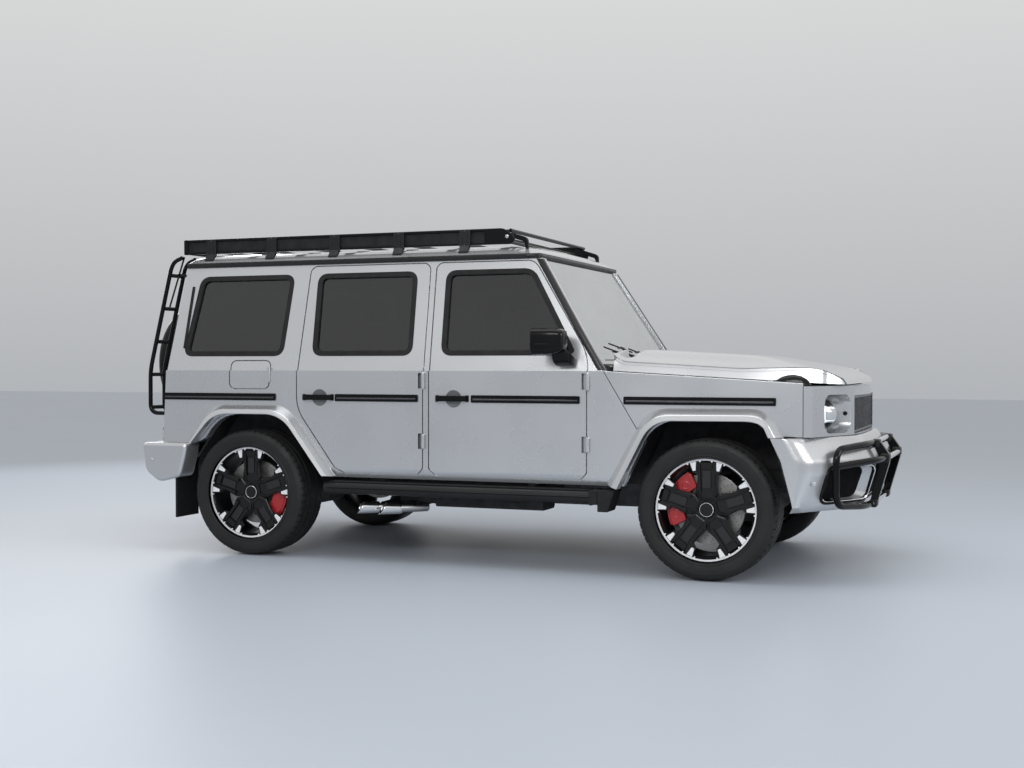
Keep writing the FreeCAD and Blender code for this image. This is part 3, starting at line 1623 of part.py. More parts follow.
def chassis_frame():
    """Two long rails with cross members, engine mounts and front spring seats."""
    rear = REAR_AXLE - (S.rear_bumper_to_axle - S.bumper_wall - S.rear_bumper_tuck - S.panel_gap)
    front = FRONT_AXLE + S.rail_front_to_axle
    rail = block(rear, front, -S.rail_outer, -S.rail_inner, S.rail_bottom, S.floor_bottom)
    pieces = [rail, mirrored(rail)]
    low = S.rail_bottom
    high = S.floor_bottom - S.cut_overrun
    middle = (FRONT_AXLE + REAR_AXLE) / 2
    for x in (rear, REAR_AXLE + LINK_LENGTH, middle - S.cross_depth,
              front - S.cross_depth):
        pieces.append(block(x, x + S.cross_depth, -S.rail_inner, S.rail_inner, low, high))
    mount_x = FRONT_AXLE - S.cross_depth
    mount = block(mount_x, mount_x + S.cross_depth, -S.rail_inner, -S.engine_half_width, low,
                  high)
    seat = block(FRONT_AXLE - S.spring_radius, FRONT_AXLE + S.spring_radius,
                 -(S.spring_half_width + S.spring_radius), -S.rail_outer,
                 S.spring_top, S.spring_top + S.arm_thickness)
    leg = block(FRONT_AXLE - S.subframe_length / 2, FRONT_AXLE + S.subframe_length / 2,
                -S.rail_outer, -S.subframe_half_width, arm_bottom(), S.rail_bottom)
    hanger = block(REAR_AXLE + LINK_LENGTH - S.cross_depth, REAR_AXLE + LINK_LENGTH,
                   -S.rail_outer, -S.rail_inner, AXLE_HEIGHT - S.link_radius, S.rail_bottom)
    for piece in (mount, seat, leg, hanger):
        pieces += [piece, mirrored(piece)]
    pieces.append(block(FRONT_AXLE - S.subframe_length / 2, FRONT_AXLE + S.subframe_length / 2,
                        -S.subframe_half_width, S.subframe_half_width, S.subframe_bottom,
                        S.subframe_top))
    node("chassis_frame", fuse(*pieces))


def arm_bottom():
    """Underside of the lower arms, below the foot of the knuckle."""
    return AXLE_HEIGHT - S.knuckle_reach - S.axle_gap - S.arm_thickness


def engine_block():
    node("engine_block", block(FRONT_AXLE - S.engine_rear_to_axle,
                               FRONT_AXLE + S.engine_front_to_axle, -S.engine_half_width,
                               S.engine_half_width, S.engine_bottom, S.engine_top))


def driveline():
    """Gearbox behind the engine and the shaft to the rear axle."""
    front = FRONT_AXLE - S.engine_rear_to_axle
    rear = front - WHEELBASE * S.gearbox_share
    top = S.floor_bottom - S.panel_gap
    box = block(rear, front, -S.gearbox_half_width, S.gearbox_half_width,
                top - S.gearbox_height, top)
    start = REAR_AXLE + S.diff_radius
    shaft = bar(start, 0, AXLE_HEIGHT, S.shaft_radius, rear - start, "x")
    node("driveline", fuse(box, shaft))


def fuel_tank():
    front = REAR_AXLE - S.tank_front_to_axle
    node("fuel_tank", block(front - S.tank_length, front, -S.tank_half_width, S.tank_half_width,
                            S.tank_bottom, S.floor_bottom - S.panel_gap))


def front_suspension():
    """Upper and lower arms with springs, carrying the knuckles."""
    low = arm_bottom()
    inner = S.rail_outer
    reach = S.kingpin_half_width
    lower = prism(outline([
        (FRONT_AXLE - S.arm_tip, -(reach + S.arm_tip)),
        (FRONT_AXLE + S.arm_tip, -(reach + S.arm_tip)),
        (FRONT_AXLE + S.subframe_length / 2, -inner),
        (FRONT_AXLE - S.subframe_length / 2, -inner),
    ], "XY"), low, low + S.arm_thickness)
    high = AXLE_HEIGHT + S.knuckle_reach + S.axle_gap
    upper = prism(outline([
        (FRONT_AXLE - S.arm_tip, -(reach + S.arm_tip)),
        (FRONT_AXLE + S.arm_tip, -(reach + S.arm_tip)),
        (FRONT_AXLE + S.subframe_length / 2, -inner),
        (FRONT_AXLE - S.subframe_length / 2, -inner),
    ], "XY"), high, high + S.arm_thickness * S.upper_arm_share)
    foot = low + S.arm_thickness
    spring = bar(FRONT_AXLE, -S.spring_half_width, foot, S.spring_radius, S.spring_top - foot)
    side = gather(fuse(lower, spring), upper)
    node("front_suspension", pair(side))


def rear_axle():
    """Live axle: beam with its differential, links, springs and brake calipers."""
    end = S.track / 2 - S.hub_face - S.axle_gap
    beam = bar(REAR_AXLE, -end, AXLE_HEIGHT, S.beam_radius, end * 2, "y")
    drum = bar(REAR_AXLE, -S.diff_half_width, AXLE_HEIGHT, S.diff_radius, S.diff_half_width * 2,
               "y", S.disc_sides)
    spring = bar(REAR_AXLE, -S.spring_half_width, AXLE_HEIGHT, S.spring_radius,
                 S.floor_bottom - S.panel_gap - AXLE_HEIGHT)
    link_y = -(S.rail_inner + S.rail_outer) / 2
    link = bar(REAR_AXLE, link_y, AXLE_HEIGHT, S.link_radius, LINK_LENGTH - S.cross_depth, "x")
    brake = caliper(S.rear_caliper_turn, S.beam_radius)
    put(brake, REAR_AXLE, -S.track / 2, AXLE_HEIGHT)
    node("rear_axle", fuse(beam, drum, spring, mirrored(spring), link, mirrored(link), brake,
                           mirrored(brake)))


def caliper(turn, inner_radius):
    """A brake caliper round a wheel's axis in flat steps, with its bracket to some radius."""
    disc_in = S.hub_face - S.disc_step
    disc_out = disc_in - S.disc_thickness
    inside = disc_in + S.brake_gap
    outside = disc_out - S.brake_gap
    wall = S.caliper_wall
    claw = fan(turn, S.caliper_inner, S.caliper_outer, outside - wall, inside + wall)
    slot = fan(turn, as_size(0), S.disc_radius + S.brake_gap * 2, outside, inside)
    arm = fan(turn, inner_radius, S.caliper_outer, inside + wall * S.caliper_bracket_share,
              inside + wall)
    return gather(fuse(cut(claw, slot), arm))


def fan(turn, inner, outer, start, end):
    """A slab between two radii about Y, over the caliper's angle in a few flat steps."""
    steps = int(S.caliper_steps.value)
    turns = [turn + S.caliper_sweep * i / steps for i in range(steps + 1)]
    ring = [(outer * cosine(a), outer * -sine(a)) for a in turns]
    if inner.value > 0:
        ring += [(inner * cosine(a), inner * -sine(a)) for a in reversed(turns)]
    else:
        ring.append((0, 0))
    return prism(outline(ring), start, end)


# Wheels


def wheel_step(body, kind, radius, sides, start, end):
    """Add or take away one many-sided band, between two levels along the wheel's axis."""
    step = body.newObject(f"PartDesign::{kind}Prism", "step")
    bind(step, "Polygon", sides)
    bind(step, "Circumradius", radius)
    bind(step, "Height", end - start)
    bind(step, "Placement.Base.z", start)
    DOC.recompute()
    return step


def wheel_master():
    """Five-spoke wheel with its brake disc, about Z with the outer face up."""
    body = DOC.addObject("PartDesign::Body", "wheel_master")
    half = S.rim_width / 2
    face = half - S.spoke_depth
    back = face - S.spoke_thickness
    disc_in = S.disc_step - S.hub_face
    bore = S.rim_radius - S.rim_wall
    wheel_step(body, "Additive", S.rim_radius, S.rim_sides, -half, half)
    wheel_step(body, "Subtractive", bore, S.rim_sides, face, half)
    plate = wheel_step(body, "Subtractive", bore, S.rim_sides, -half, back)
    window = outline([
        (S.window_inner, -S.window_inner_half, S.window_round),
        (S.window_outer, -S.window_outer_half, S.window_round),
        (S.window_outer, S.window_outer_half, S.window_round),
        (S.window_inner, S.window_inner_half, S.window_round),
    ], "XY", holder=body, flat=True)
    DOC.recompute()
    opening = body.newObject("PartDesign::Pocket", "opening")
    opening.Profile = window
    bind(opening, "Length", S.rim_width)
    opening.Reversed = True
    DOC.recompute()
    if opening.Shape.Volume >= plate.Shape.Volume:
        raise RuntimeError("the wheel's openings cut nothing")
    spokes = body.newObject("PartDesign::PolarPattern", "spokes")
    spokes.Originals = [opening]
    z_axis = [f for f in body.Origin.OriginFeatures if f.Role == "Z_Axis"][0]
    spokes.Axis = (z_axis, [""])
    bind(spokes, "Angle", S.full_turn)
    bind(spokes, "Occurrences", S.spoke_count)
    body.Tip = spokes
    DOC.recompute()
    wheel_step(body, "Additive", S.hub_radius, S.disc_sides, -S.hub_face, back)
    wheel_step(body, "Additive", S.disc_radius, S.disc_sides, disc_in, disc_in + S.disc_thickness)
    return body


def tyre_master():
    """Tyre about Z: a many-sided drum with its shoulders cut, and a seat that fits the rim."""
    body = DOC.addObject("PartDesign::Body", "tyre_master")
    half = S.tyre_width / 2
    drum = wheel_step(body, "Additive", S.tyre_diameter / 2, S.tyre_sides, -half, half)
    ends = [f"Face{i}" for i, face in enumerate(drum.Shape.Faces, start=1)
            if abs(face.normalAt(0, 0).z) > S.flat_corner_share.value]
    shoulders = body.newObject("PartDesign::Chamfer", "shoulders")
    shoulders.Base = (drum, ends)
    bind(shoulders, "Size", S.tyre_shoulder)
    body.Tip = shoulders
    DOC.recompute()
    wheel_step(body, "Subtractive", S.rim_radius + S.glass_fit, S.rim_sides, -half, half)
    return body


def knuckle():
    """Steered upright with its hub flange and brake caliper, for the right wheel."""
    low = AXLE_HEIGHT - S.knuckle_reach
    height = S.knuckle_reach * 2
    post = bar(FRONT_AXLE, -S.kingpin_half_width, low, S.knuckle_radius, height - S.kingpin_rise)
    pin = rod(FRONT_AXLE, -S.kingpin_half_width, low + height - S.kingpin_rise,
              S.kingpin_radius, S.kingpin_rise)
    end = S.track / 2 - S.hub_face - S.axle_gap
    hub = bar(FRONT_AXLE, -end, AXLE_HEIGHT, S.spindle_radius, end - S.kingpin_half_width, "y")
    brake = caliper(S.front_caliper_turn, S.spindle_radius)
    put(brake, FRONT_AXLE, -S.track / 2, AXLE_HEIGHT)
    return fuse(post, pin, hub, brake)


def wheels():
    """Knuckles, wheels and tyres at the four corners."""
    rim = wheel_master()
    ring = tyre_master()
    right = knuckle()
    node("knuckle_right", right)
    node("knuckle_left", mirrored(right))
    for end, x in (("front", FRONT_AXLE), ("rear", REAR_AXLE)):
        for side, sign in (("right", -1), ("left", 1)):
            turn = FreeCAD.Rotation(UP, V(0, sign, 0))
            for kind, master in (("wheel", rim), ("tyre", ring)):
                corner = gather(master)
                corner.Placement = FreeCAD.Placement(V(0, 0, 0), turn)
                put(corner, x, S.track / 2 * sign, AXLE_HEIGHT)
                node(f"{kind}_{end}_{side}", corner)


# Doors


def shell_door(door_outline, window_outline):
    """A side door: outer skin, narrower inner frame and the window opening."""
    skin = on_side(door_outline(), 0, S.door_skin)
    frame = on_side(grown(door_outline(), -S.door_lip), S.door_skin, S.door_depth)
    return cut(fuse(skin, frame), through_side(window_outline()))


def hinges(x):
    """Two outside hinges with their barrels on the door, just ahead of its front edge."""
    pieces = []
    for z, barrel in ((S.hinge_high, rod), (S.hinge_low, bar)):
        low = z - S.hinge_length / 2
        pieces.append(barrel(x + S.hinge_offset, HINGE_Y, low, S.hinge_radius, S.hinge_length))
        pieces.append(block(x - S.hinge_leaf, x + S.hinge_offset, HINGE_Y,
                            -S.body_half_width, low, low + S.hinge_length))
    return pieces


def handle(rear_x):
    """Fixed grip bar on two posts."""
    start = rear_x + S.handle_inset
    low = S.handle_height - S.handle_drop / 2
    face = -S.body_half_width
    bar = block(start, start + S.handle_length, face - S.handle_stand,
                face - S.handle_stand + S.handle_bar, low, low + S.handle_drop)
    posts = [block(x, x + S.handle_bar, face - S.handle_stand, face, low, low + S.handle_drop)
             for x in (start, start + S.handle_length - S.handle_bar)]
    return [bar] + posts


def mirror():
    """Door mirror: rounded head on an arm from the door's front corner."""
    rear = FRONT_AXLE - S.mirror_rear_to_axle
    front = FRONT_AXLE - S.mirror_front_to_axle
    head = prism(outline([
        (-S.mirror_outer, S.mirror_bottom, S.mirror_round),
        (-S.mirror_inner, S.mirror_bottom, S.mirror_round),
        (-S.mirror_inner, S.mirror_top, S.mirror_round),
        (-S.mirror_outer, S.mirror_top, S.mirror_round),
    ], "YZ", flat=True), rear, front)
    arm = block(front - S.mirror_arm, front, -(S.mirror_inner + S.mirror_arm),
                -(S.body_half_width - S.side_thickness / 2), S.mirror_foot, S.mirror_bottom)
    door = on_side(front_door_outline(), 0, S.door_depth)
    return fuse(head, cut(arm, door))


def side_doors():
    front = fuse(shell_door(front_door_outline, front_glass_outline), *hinges(FRONT_DOOR_FRONT),
                 *handle(FRONT_DOOR_REAR))
    rear = fuse(shell_door(rear_side_door_outline, rear_glass_outline), *hinges(REAR_DOOR_FRONT),
                *handle(REAR_DOOR_REAR))
    front_pane = on_side(grown(front_glass_outline(), -S.glass_fit), S.glass_depth,
                         S.glass_depth + S.glass_thickness)
    rear_pane = on_side(grown(rear_glass_outline(), -S.glass_fit), S.glass_depth,
                        S.glass_depth + S.glass_thickness)
    outside_mirror = mirror()
    for name, right in (("door_front", front), ("door_rear", rear), ("glass_front", front_pane),
                        ("glass_rear", rear_pane), ("mirror", outside_mirror)):
        node(f"{name}_right", right)
        node(f"{name}_left", mirrored(right))


def rear_door():
    """Rear door hinged on its right edge, with the bracket of the spare wheel."""
    skin = on_rear(rear_door_outline(), 0, S.door_skin)
    frame = on_rear(grown(rear_door_outline(), -S.door_lip), S.door_skin, S.door_depth)
    shell = cut(fuse(skin, frame), through_rear(rear_window_outline()))
    face = BODY_REAR - S.spare_behind_body
    bracket = bar(face, 0, S.spare_height, S.spare_bracket_radius,
                  S.spare_behind_body + S.side_thickness, "x")
    bracket = cut(bracket, rear_slab(0, S.side_thickness * 2))
    barrels = []
    for z, barrel in ((S.hinge_high, rod), (S.rear_hinge_low, bar)):
        barrels.append(barrel(REAR_HINGE_X, REAR_HINGE_Y, z - S.hinge_length / 2, S.hinge_radius,
                              S.hinge_length))
        leaf = block(REAR_HINGE_X, BODY_REAR + S.side_thickness, REAR_HINGE_Y,
                     -S.rear_door_half_width + S.hinge_leaf, z - S.hinge_length / 2,
                     z + S.hinge_length / 2)
        barrels.append(cut(leaf, rear_slab(0, S.side_thickness * 2)))
    node("rear_door", fuse(shell, bracket, *barrels))
    pane = on_rear(grown(rear_window_outline(), -S.glass_fit), S.glass_depth,
                   S.glass_depth + S.glass_thickness)
    node("rear_door_glass", pane)


REAR_HINGE_X = BODY_REAR - S.hinge_offset
REAR_HINGE_Y = -(S.rear_door_half_width + S.hinge_offset)


def spare_wheel():
    """Spare wheel behind its round cover."""
    inner = BODY_REAR - S.spare_behind_body - S.panel_gap
    node("spare_wheel", bar(inner - S.spare_width, 0, S.spare_height, S.spare_radius,
                            S.spare_width, "x", S.rim_sides))


def ladder():
    """Narrow ladder on the rear door, beside the spare wheel."""
    x = REAR_AXLE - S.ladder_to_axle
    top_x = x + S.ladder_lean
    radius = S.ladder_tube_radius
    rails = []
    for y in (-S.ladder_outer, -S.ladder_inner):
        rails.append(tube([
            (top_x, y, S.ladder_top),
            (x, y, S.belt_height),
            (x, y, S.ladder_bottom),
            (BODY_REAR - S.ladder_foot, y, S.ladder_bottom),
        ], radius, S.ladder_bend))
        rails.append(block(BODY_REAR - S.ladder_foot - radius, BODY_REAR + S.side_thickness, y,
                           y + S.ladder_foot, S.ladder_bottom - radius, S.ladder_bottom + radius))
    rungs = []
    count = int(S.ladder_rungs.value)
    step = (S.ladder_high_rung - S.ladder_low_rung) / (count - 1)
    slope = (top_x - x) / (S.ladder_top - S.belt_height)
    for i in range(count):
        z = S.ladder_low_rung + step * i
        rung_x = x + (z - S.belt_height) * slope if z.value > S.belt_height.value else x
        rungs.append(bar(rung_x, -S.ladder_outer, z, S.ladder_rung_radius,
                         S.ladder_outer - S.ladder_inner, "y", S.tube_sides))
    stand_x = x + (S.ladder_stand_height - S.belt_height) * slope
    stand = bar(stand_x, -S.ladder_inner, S.ladder_stand_height, S.ladder_rung_radius,
                REAR_AXLE - S.tail_top_to_axle - stand_x, "x")
    whole = fuse(*rails, *rungs, stand)
    node("ladder", cut(whole, rear_slab(0, S.side_thickness * 2)))


def fuel_flap():
    """Filler flap flush with the right quarter, hinged on its front edge."""
    lid = on_side(fuel_flap_outline(), 0, S.fuel_flap_thickness)
    edge = REAR_AXLE - S.fuel_flap_rear + S.fuel_flap_length
    x = edge + S.flap_hinge_offset
    y = -(S.body_half_width + S.flap_hinge_stand)
    low = S.fuel_flap_bottom + (S.fuel_flap_height - S.flap_hinge_length) / 2
    barrel = rod(x, y, low, S.flap_hinge_stand - S.panel_gap, S.flap_hinge_length)
    leaf = block(edge - S.flap_hinge_offset, x, y, -S.body_half_width - S.panel_gap, low,
                 low + S.flap_hinge_length)
    pad = block(edge - S.flap_hinge_offset, edge - S.panel_gap, y, -S.body_half_width, low,
                low + S.flap_hinge_length)
    node("fuel_flap", fuse(lid, barrel, leaf, pad))


# Cabin


def dashboard():
    """Dashboard across the cabin with the steering wheel on its column."""
    rear_face = FRONT_AXLE - S.firewall_to_axle - S.firewall_thickness
    front = rear_face
    rear = front - S.dash_depth
    half = S.dash_half_width
    desk = prism(outline([
        (front, S.dash_bottom),
        (front, S.dash_top),
        (front - S.dash_depth * S.dash_ledge_share, S.dash_top),
        (rear, S.dash_top - S.seat_cushion * S.dash_brow_share),
        (rear, S.dash_bottom + S.seat_cushion * S.dash_foot_share),
        (rear + S.dash_depth * S.dash_knee_share, S.dash_bottom),
    ]), -half, half)
    grip = S.wheel_rim_section
    ring = cut(bar(0, 0, -grip, S.wheel_rim_radius + grip, grip * 2, "z", S.disc_sides),
               bar(0, 0, -grip, S.wheel_rim_radius - grip, grip * 2, "z", S.disc_sides))
    spoke = block(-S.wheel_rim_radius, S.wheel_rim_radius, -grip, grip, -grip / 2, grip / 2)
    column = bar(0, 0, 0, grip * S.column_share, S.wheel_column)
    hub = gather(fuse(ring, spoke, column))
    hub.Placement = FreeCAD.Placement(V(0, 0, 0), FreeCAD.Rotation(
        V(0, 1, 0), (S.wheel_column_upright + S.steering_wheel_rake).value))
    put(hub, FRONT_AXLE - S.wheel_centre_back, S.wheel_centre_y, S.wheel_centre_height)
    node("dashboard", fuse(desk, hub))


def seat(front, half, headrests):
    """One seat or bench: base, cushion, leaning backrest and headrests."""
    rear = front - S.seat_depth
    floor = S.floor_bottom + S.floor_thickness
    cushion_low = S.seat_top - S.seat_cushion
    base = block(rear + S.seat_cushion / 2, front - S.seat_cushion / 2, -half * S.seat_base_share,
                 half * S.seat_base_share,
                 floor, cushion_low)
    cushion = block(rear, front, -half, half, cushion_low, S.seat_top)
    back = prism(outline([
        (rear, cushion_low),
        (rear, S.seat_top),
        (rear - S.backrest_lean, S.backrest_top),
        (rear - S.backrest_lean - S.backrest_thickness * S.backrest_top_share, S.backrest_top),
        (rear - S.backrest_thickness, cushion_low),
    ]), -half, half)
    pieces = [base, cushion, back]
    top_x = rear - S.backrest_lean
    for y in headrests:
        pieces.append(block(top_x - S.backrest_thickness * S.backrest_top_share, top_x, y - S.headrest_half_width,
                            y + S.headrest_half_width, S.backrest_top, S.headrest_top))
    return fuse(*pieces)


def seats():
    one = gather(seat(FRONT_AXLE - WHEELBASE * S.front_seat_share, S.seat_half_width, [as_size(0)]))
    put(one, 0, -S.seat_centre, 0)
    node("front_seats", pair(one))
    bench = seat(REAR_AXLE + WHEELBASE * S.rear_seat_share, S.rear_bench_half_width,
                 [-S.seat_centre, S.seat_centre])
    node("rear_seats", bench)


def wipers():
    """Two wiper arms lying along the foot of the windscreen."""
    base_x = FRONT_AXLE - S.pillar_base_to_axle
    slope = S.pillar_lean / (S.gutter_height - S.belt_height)
    z = S.belt_height + S.cowl_thickness + S.wiper_seat
    arms = []
    for pivot in (-S.wiper_pivot_right, S.wiper_pivot_left):
        foot_z = z + S.wiper_rise
        tip_z = foot_z + S.wiper_rise * 2
        before_glass = base_x + S.wiper_stand
        arms.append(tube([
            (base_x - S.cowl_lip * 2, pivot, z),
            (before_glass - slope * (foot_z - S.belt_height), pivot, foot_z),
            (before_glass - slope * (tip_z - S.belt_height), pivot + S.wiper_length, tip_z),
        ], S.wiper_radius, S.wiper_radius * 2))
    node("wipers", gather(*arms))


def build_nodes():
    body_sides()
    roof_panel()
    windscreen()
    quarter_windows()
    floor_pan()
    fenders()
    bonnet()
    cowl()
    wipers()
    front_panel()
    grille()
    front_lamps()
    front_bumper()
    brush_guard()
    rear_frame()
    rear_bumper()
    tail_lamps()
    arch_flares()
    running_boards()
    mud_flaps()
    exhaust()
    roof_rack()
    chassis_frame()
    engine_block()
    driveline()
    fuel_tank()
    front_suspension()
    rear_axle()
    wheels()
    side_doors()
    rear_door()
    spare_wheel()
    ladder()
    fuel_flap()
    dashboard()
    seats()


def check_and_write():
    """Stop on anything that failed, then write one file for each sub-part."""
    DOC.recompute()
    for thing in DOC.Objects:
        if "Invalid" in thing.State or "Error" in thing.State:
            raise RuntimeError(f"{thing.Label} ({thing.Name}) did not build: {thing.State}")
    for thing in NODES:
        if thing.Shape.isNull() or not thing.Shape.isValid():
            raise RuntimeError(f"{thing.Label} has no valid shape")
    os.makedirs("parts", exist_ok=True)
    for thing in NODES:
        thing.Shape.exportStep(f"parts/{thing.Label}.step")


build_nodes()
check_and_write()
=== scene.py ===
import json
import math

import bmesh
import bpy
from mathutils import Matrix, Vector
from mathutils.bvhtree import BVHTree

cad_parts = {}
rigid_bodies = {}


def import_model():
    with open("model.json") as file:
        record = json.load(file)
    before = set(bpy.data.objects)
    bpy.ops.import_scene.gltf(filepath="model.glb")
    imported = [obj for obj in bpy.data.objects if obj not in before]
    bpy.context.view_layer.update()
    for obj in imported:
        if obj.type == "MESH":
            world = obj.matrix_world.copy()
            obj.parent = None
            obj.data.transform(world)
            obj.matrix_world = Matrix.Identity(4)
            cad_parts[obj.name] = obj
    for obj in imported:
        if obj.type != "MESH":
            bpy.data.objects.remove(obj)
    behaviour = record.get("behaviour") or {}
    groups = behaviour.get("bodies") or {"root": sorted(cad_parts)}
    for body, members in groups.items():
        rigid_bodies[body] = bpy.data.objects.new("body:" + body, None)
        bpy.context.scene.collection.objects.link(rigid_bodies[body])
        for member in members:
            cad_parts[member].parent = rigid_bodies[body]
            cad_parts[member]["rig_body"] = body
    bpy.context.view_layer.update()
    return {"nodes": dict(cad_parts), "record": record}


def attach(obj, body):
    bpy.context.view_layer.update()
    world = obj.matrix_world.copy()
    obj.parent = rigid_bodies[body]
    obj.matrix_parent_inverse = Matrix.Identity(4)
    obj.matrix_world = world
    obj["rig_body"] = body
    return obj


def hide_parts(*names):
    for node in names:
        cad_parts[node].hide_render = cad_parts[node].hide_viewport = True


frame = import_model()
NODES = frame["nodes"]

# Stations in metres, as in the part's source.
FRONT_AXLE = 1.54
REAR_AXLE = -1.35
HALF_TRACK = 0.8255
AXLE_HEIGHT = 0.3905
BELT = 1.15
WALL = 0.895
BELT_WALL = 0.88
WALL_LEAN = 0.115 / 0.66

# Seats, by their middle planes.
FRONT_SEAT = 0.37
REAR_SEATS = (-0.4, 0.0, 0.4)

# The photo's camera in metres and degrees, and the floor.
CAMERA_AT = (3.23, -8.237, 1.188)
CAMERA_TURN = 21.17
CAMERA_TILT = -0.83
CAMERA_LENS = 47.75
FLOOR_REACH = 40


# Materials


def socket(bsdf, name, value):
    bsdf.inputs[name].default_value = value


def mixed(tree, factor, low, high):
    """Two colours mixed by a factor socket."""
    mix = tree.nodes.new("ShaderNodeMix")
    mix.data_type = "RGBA"
    tree.links.new(factor, mix.inputs["Factor"])
    mix.inputs["A"].default_value = (*low, 1)
    mix.inputs["B"].default_value = (*high, 1)
    return mix.outputs["Result"]


def texture(tree, kind, scale, stretch=(1, 1, 1)):
    """A procedural texture on the object's own metres."""
    place = tree.nodes.new("ShaderNodeTexCoord")
    turn = tree.nodes.new("ShaderNodeMapping")
    turn.inputs["Scale"].default_value = stretch
    tree.links.new(place.outputs["Object"], turn.inputs["Vector"])
    node = tree.nodes.new(kind)
    tree.links.new(turn.outputs["Vector"], node.inputs["Vector"])
    node.inputs["Scale"].default_value = scale
    if "Detail" in node.inputs:
        node.inputs["Detail"].default_value = 3.0
    return node


def ranged(tree, value, low, high, from_low=0.3, from_high=0.7):
    """A texture's value spread between two numbers."""
    span = tree.nodes.new("ShaderNodeMapRange")
    tree.links.new(value, span.inputs["Value"])
    span.inputs["From Min"].default_value = from_low
    span.inputs["From Max"].default_value = from_high
    span.inputs["To Min"].default_value = low
    span.inputs["To Max"].default_value = high
    return span.outputs["Result"]


def surface(name, colour, rough, tint, vary, metal=0.0, coat=0.0, tint_scale=3.0, vary_scale=18.0,
        grain=0.0, grain_scale=400.0, grain_depth=0.0004, grain_kind="ShaderNodeTexNoise",
        stretch=(1, 1, 1), clear=0.0, ior=1.5, sheen=0.0, glow=0.0):
    """A procedural material: mottled colour, uneven gloss and a fine grain."""
    mat = bpy.data.materials.new(name)
    mat.use_nodes = True
    tree = mat.node_tree
    bsdf = tree.nodes["Principled BSDF"]
    clouds = texture(tree, "ShaderNodeTexNoise", tint_scale)
    low = [max(0.0, c * (1 - tint)) for c in colour]
    high = [min(1.0, c * (1 + tint)) for c in colour]
    shade = mixed(tree, ranged(tree, clouds.outputs[0], 0, 1), low, high)
    tree.links.new(shade, bsdf.inputs["Base Color"])
    uneven = texture(tree, "ShaderNodeTexNoise", vary_scale)
    gloss = ranged(tree, uneven.outputs[0], max(0.0, rough - vary), min(1.0, rough + vary))
    tree.links.new(gloss, bsdf.inputs["Roughness"])
    socket(bsdf, "Metallic", metal)
    socket(bsdf, "Coat Weight", coat)
    socket(bsdf, "Coat Roughness", 0.03)
    socket(bsdf, "Transmission Weight", clear)
    socket(bsdf, "IOR", ior)
    socket(bsdf, "Sheen Weight", sheen)
    if glow:
        socket(bsdf, "Emission Color", (*colour, 1))
        socket(bsdf, "Emission Strength", glow)
    if grain:
        rough_map = texture(tree, grain_kind, grain_scale, stretch=stretch)
        bump = tree.nodes.new("ShaderNodeBump")
        bump.inputs["Strength"].default_value = grain
        bump.inputs["Distance"].default_value = grain_depth
        tree.links.new(rough_map.outputs[0], bump.inputs["Height"])
        tree.links.new(bump.outputs["Normal"], bsdf.inputs["Normal"])
    return mat


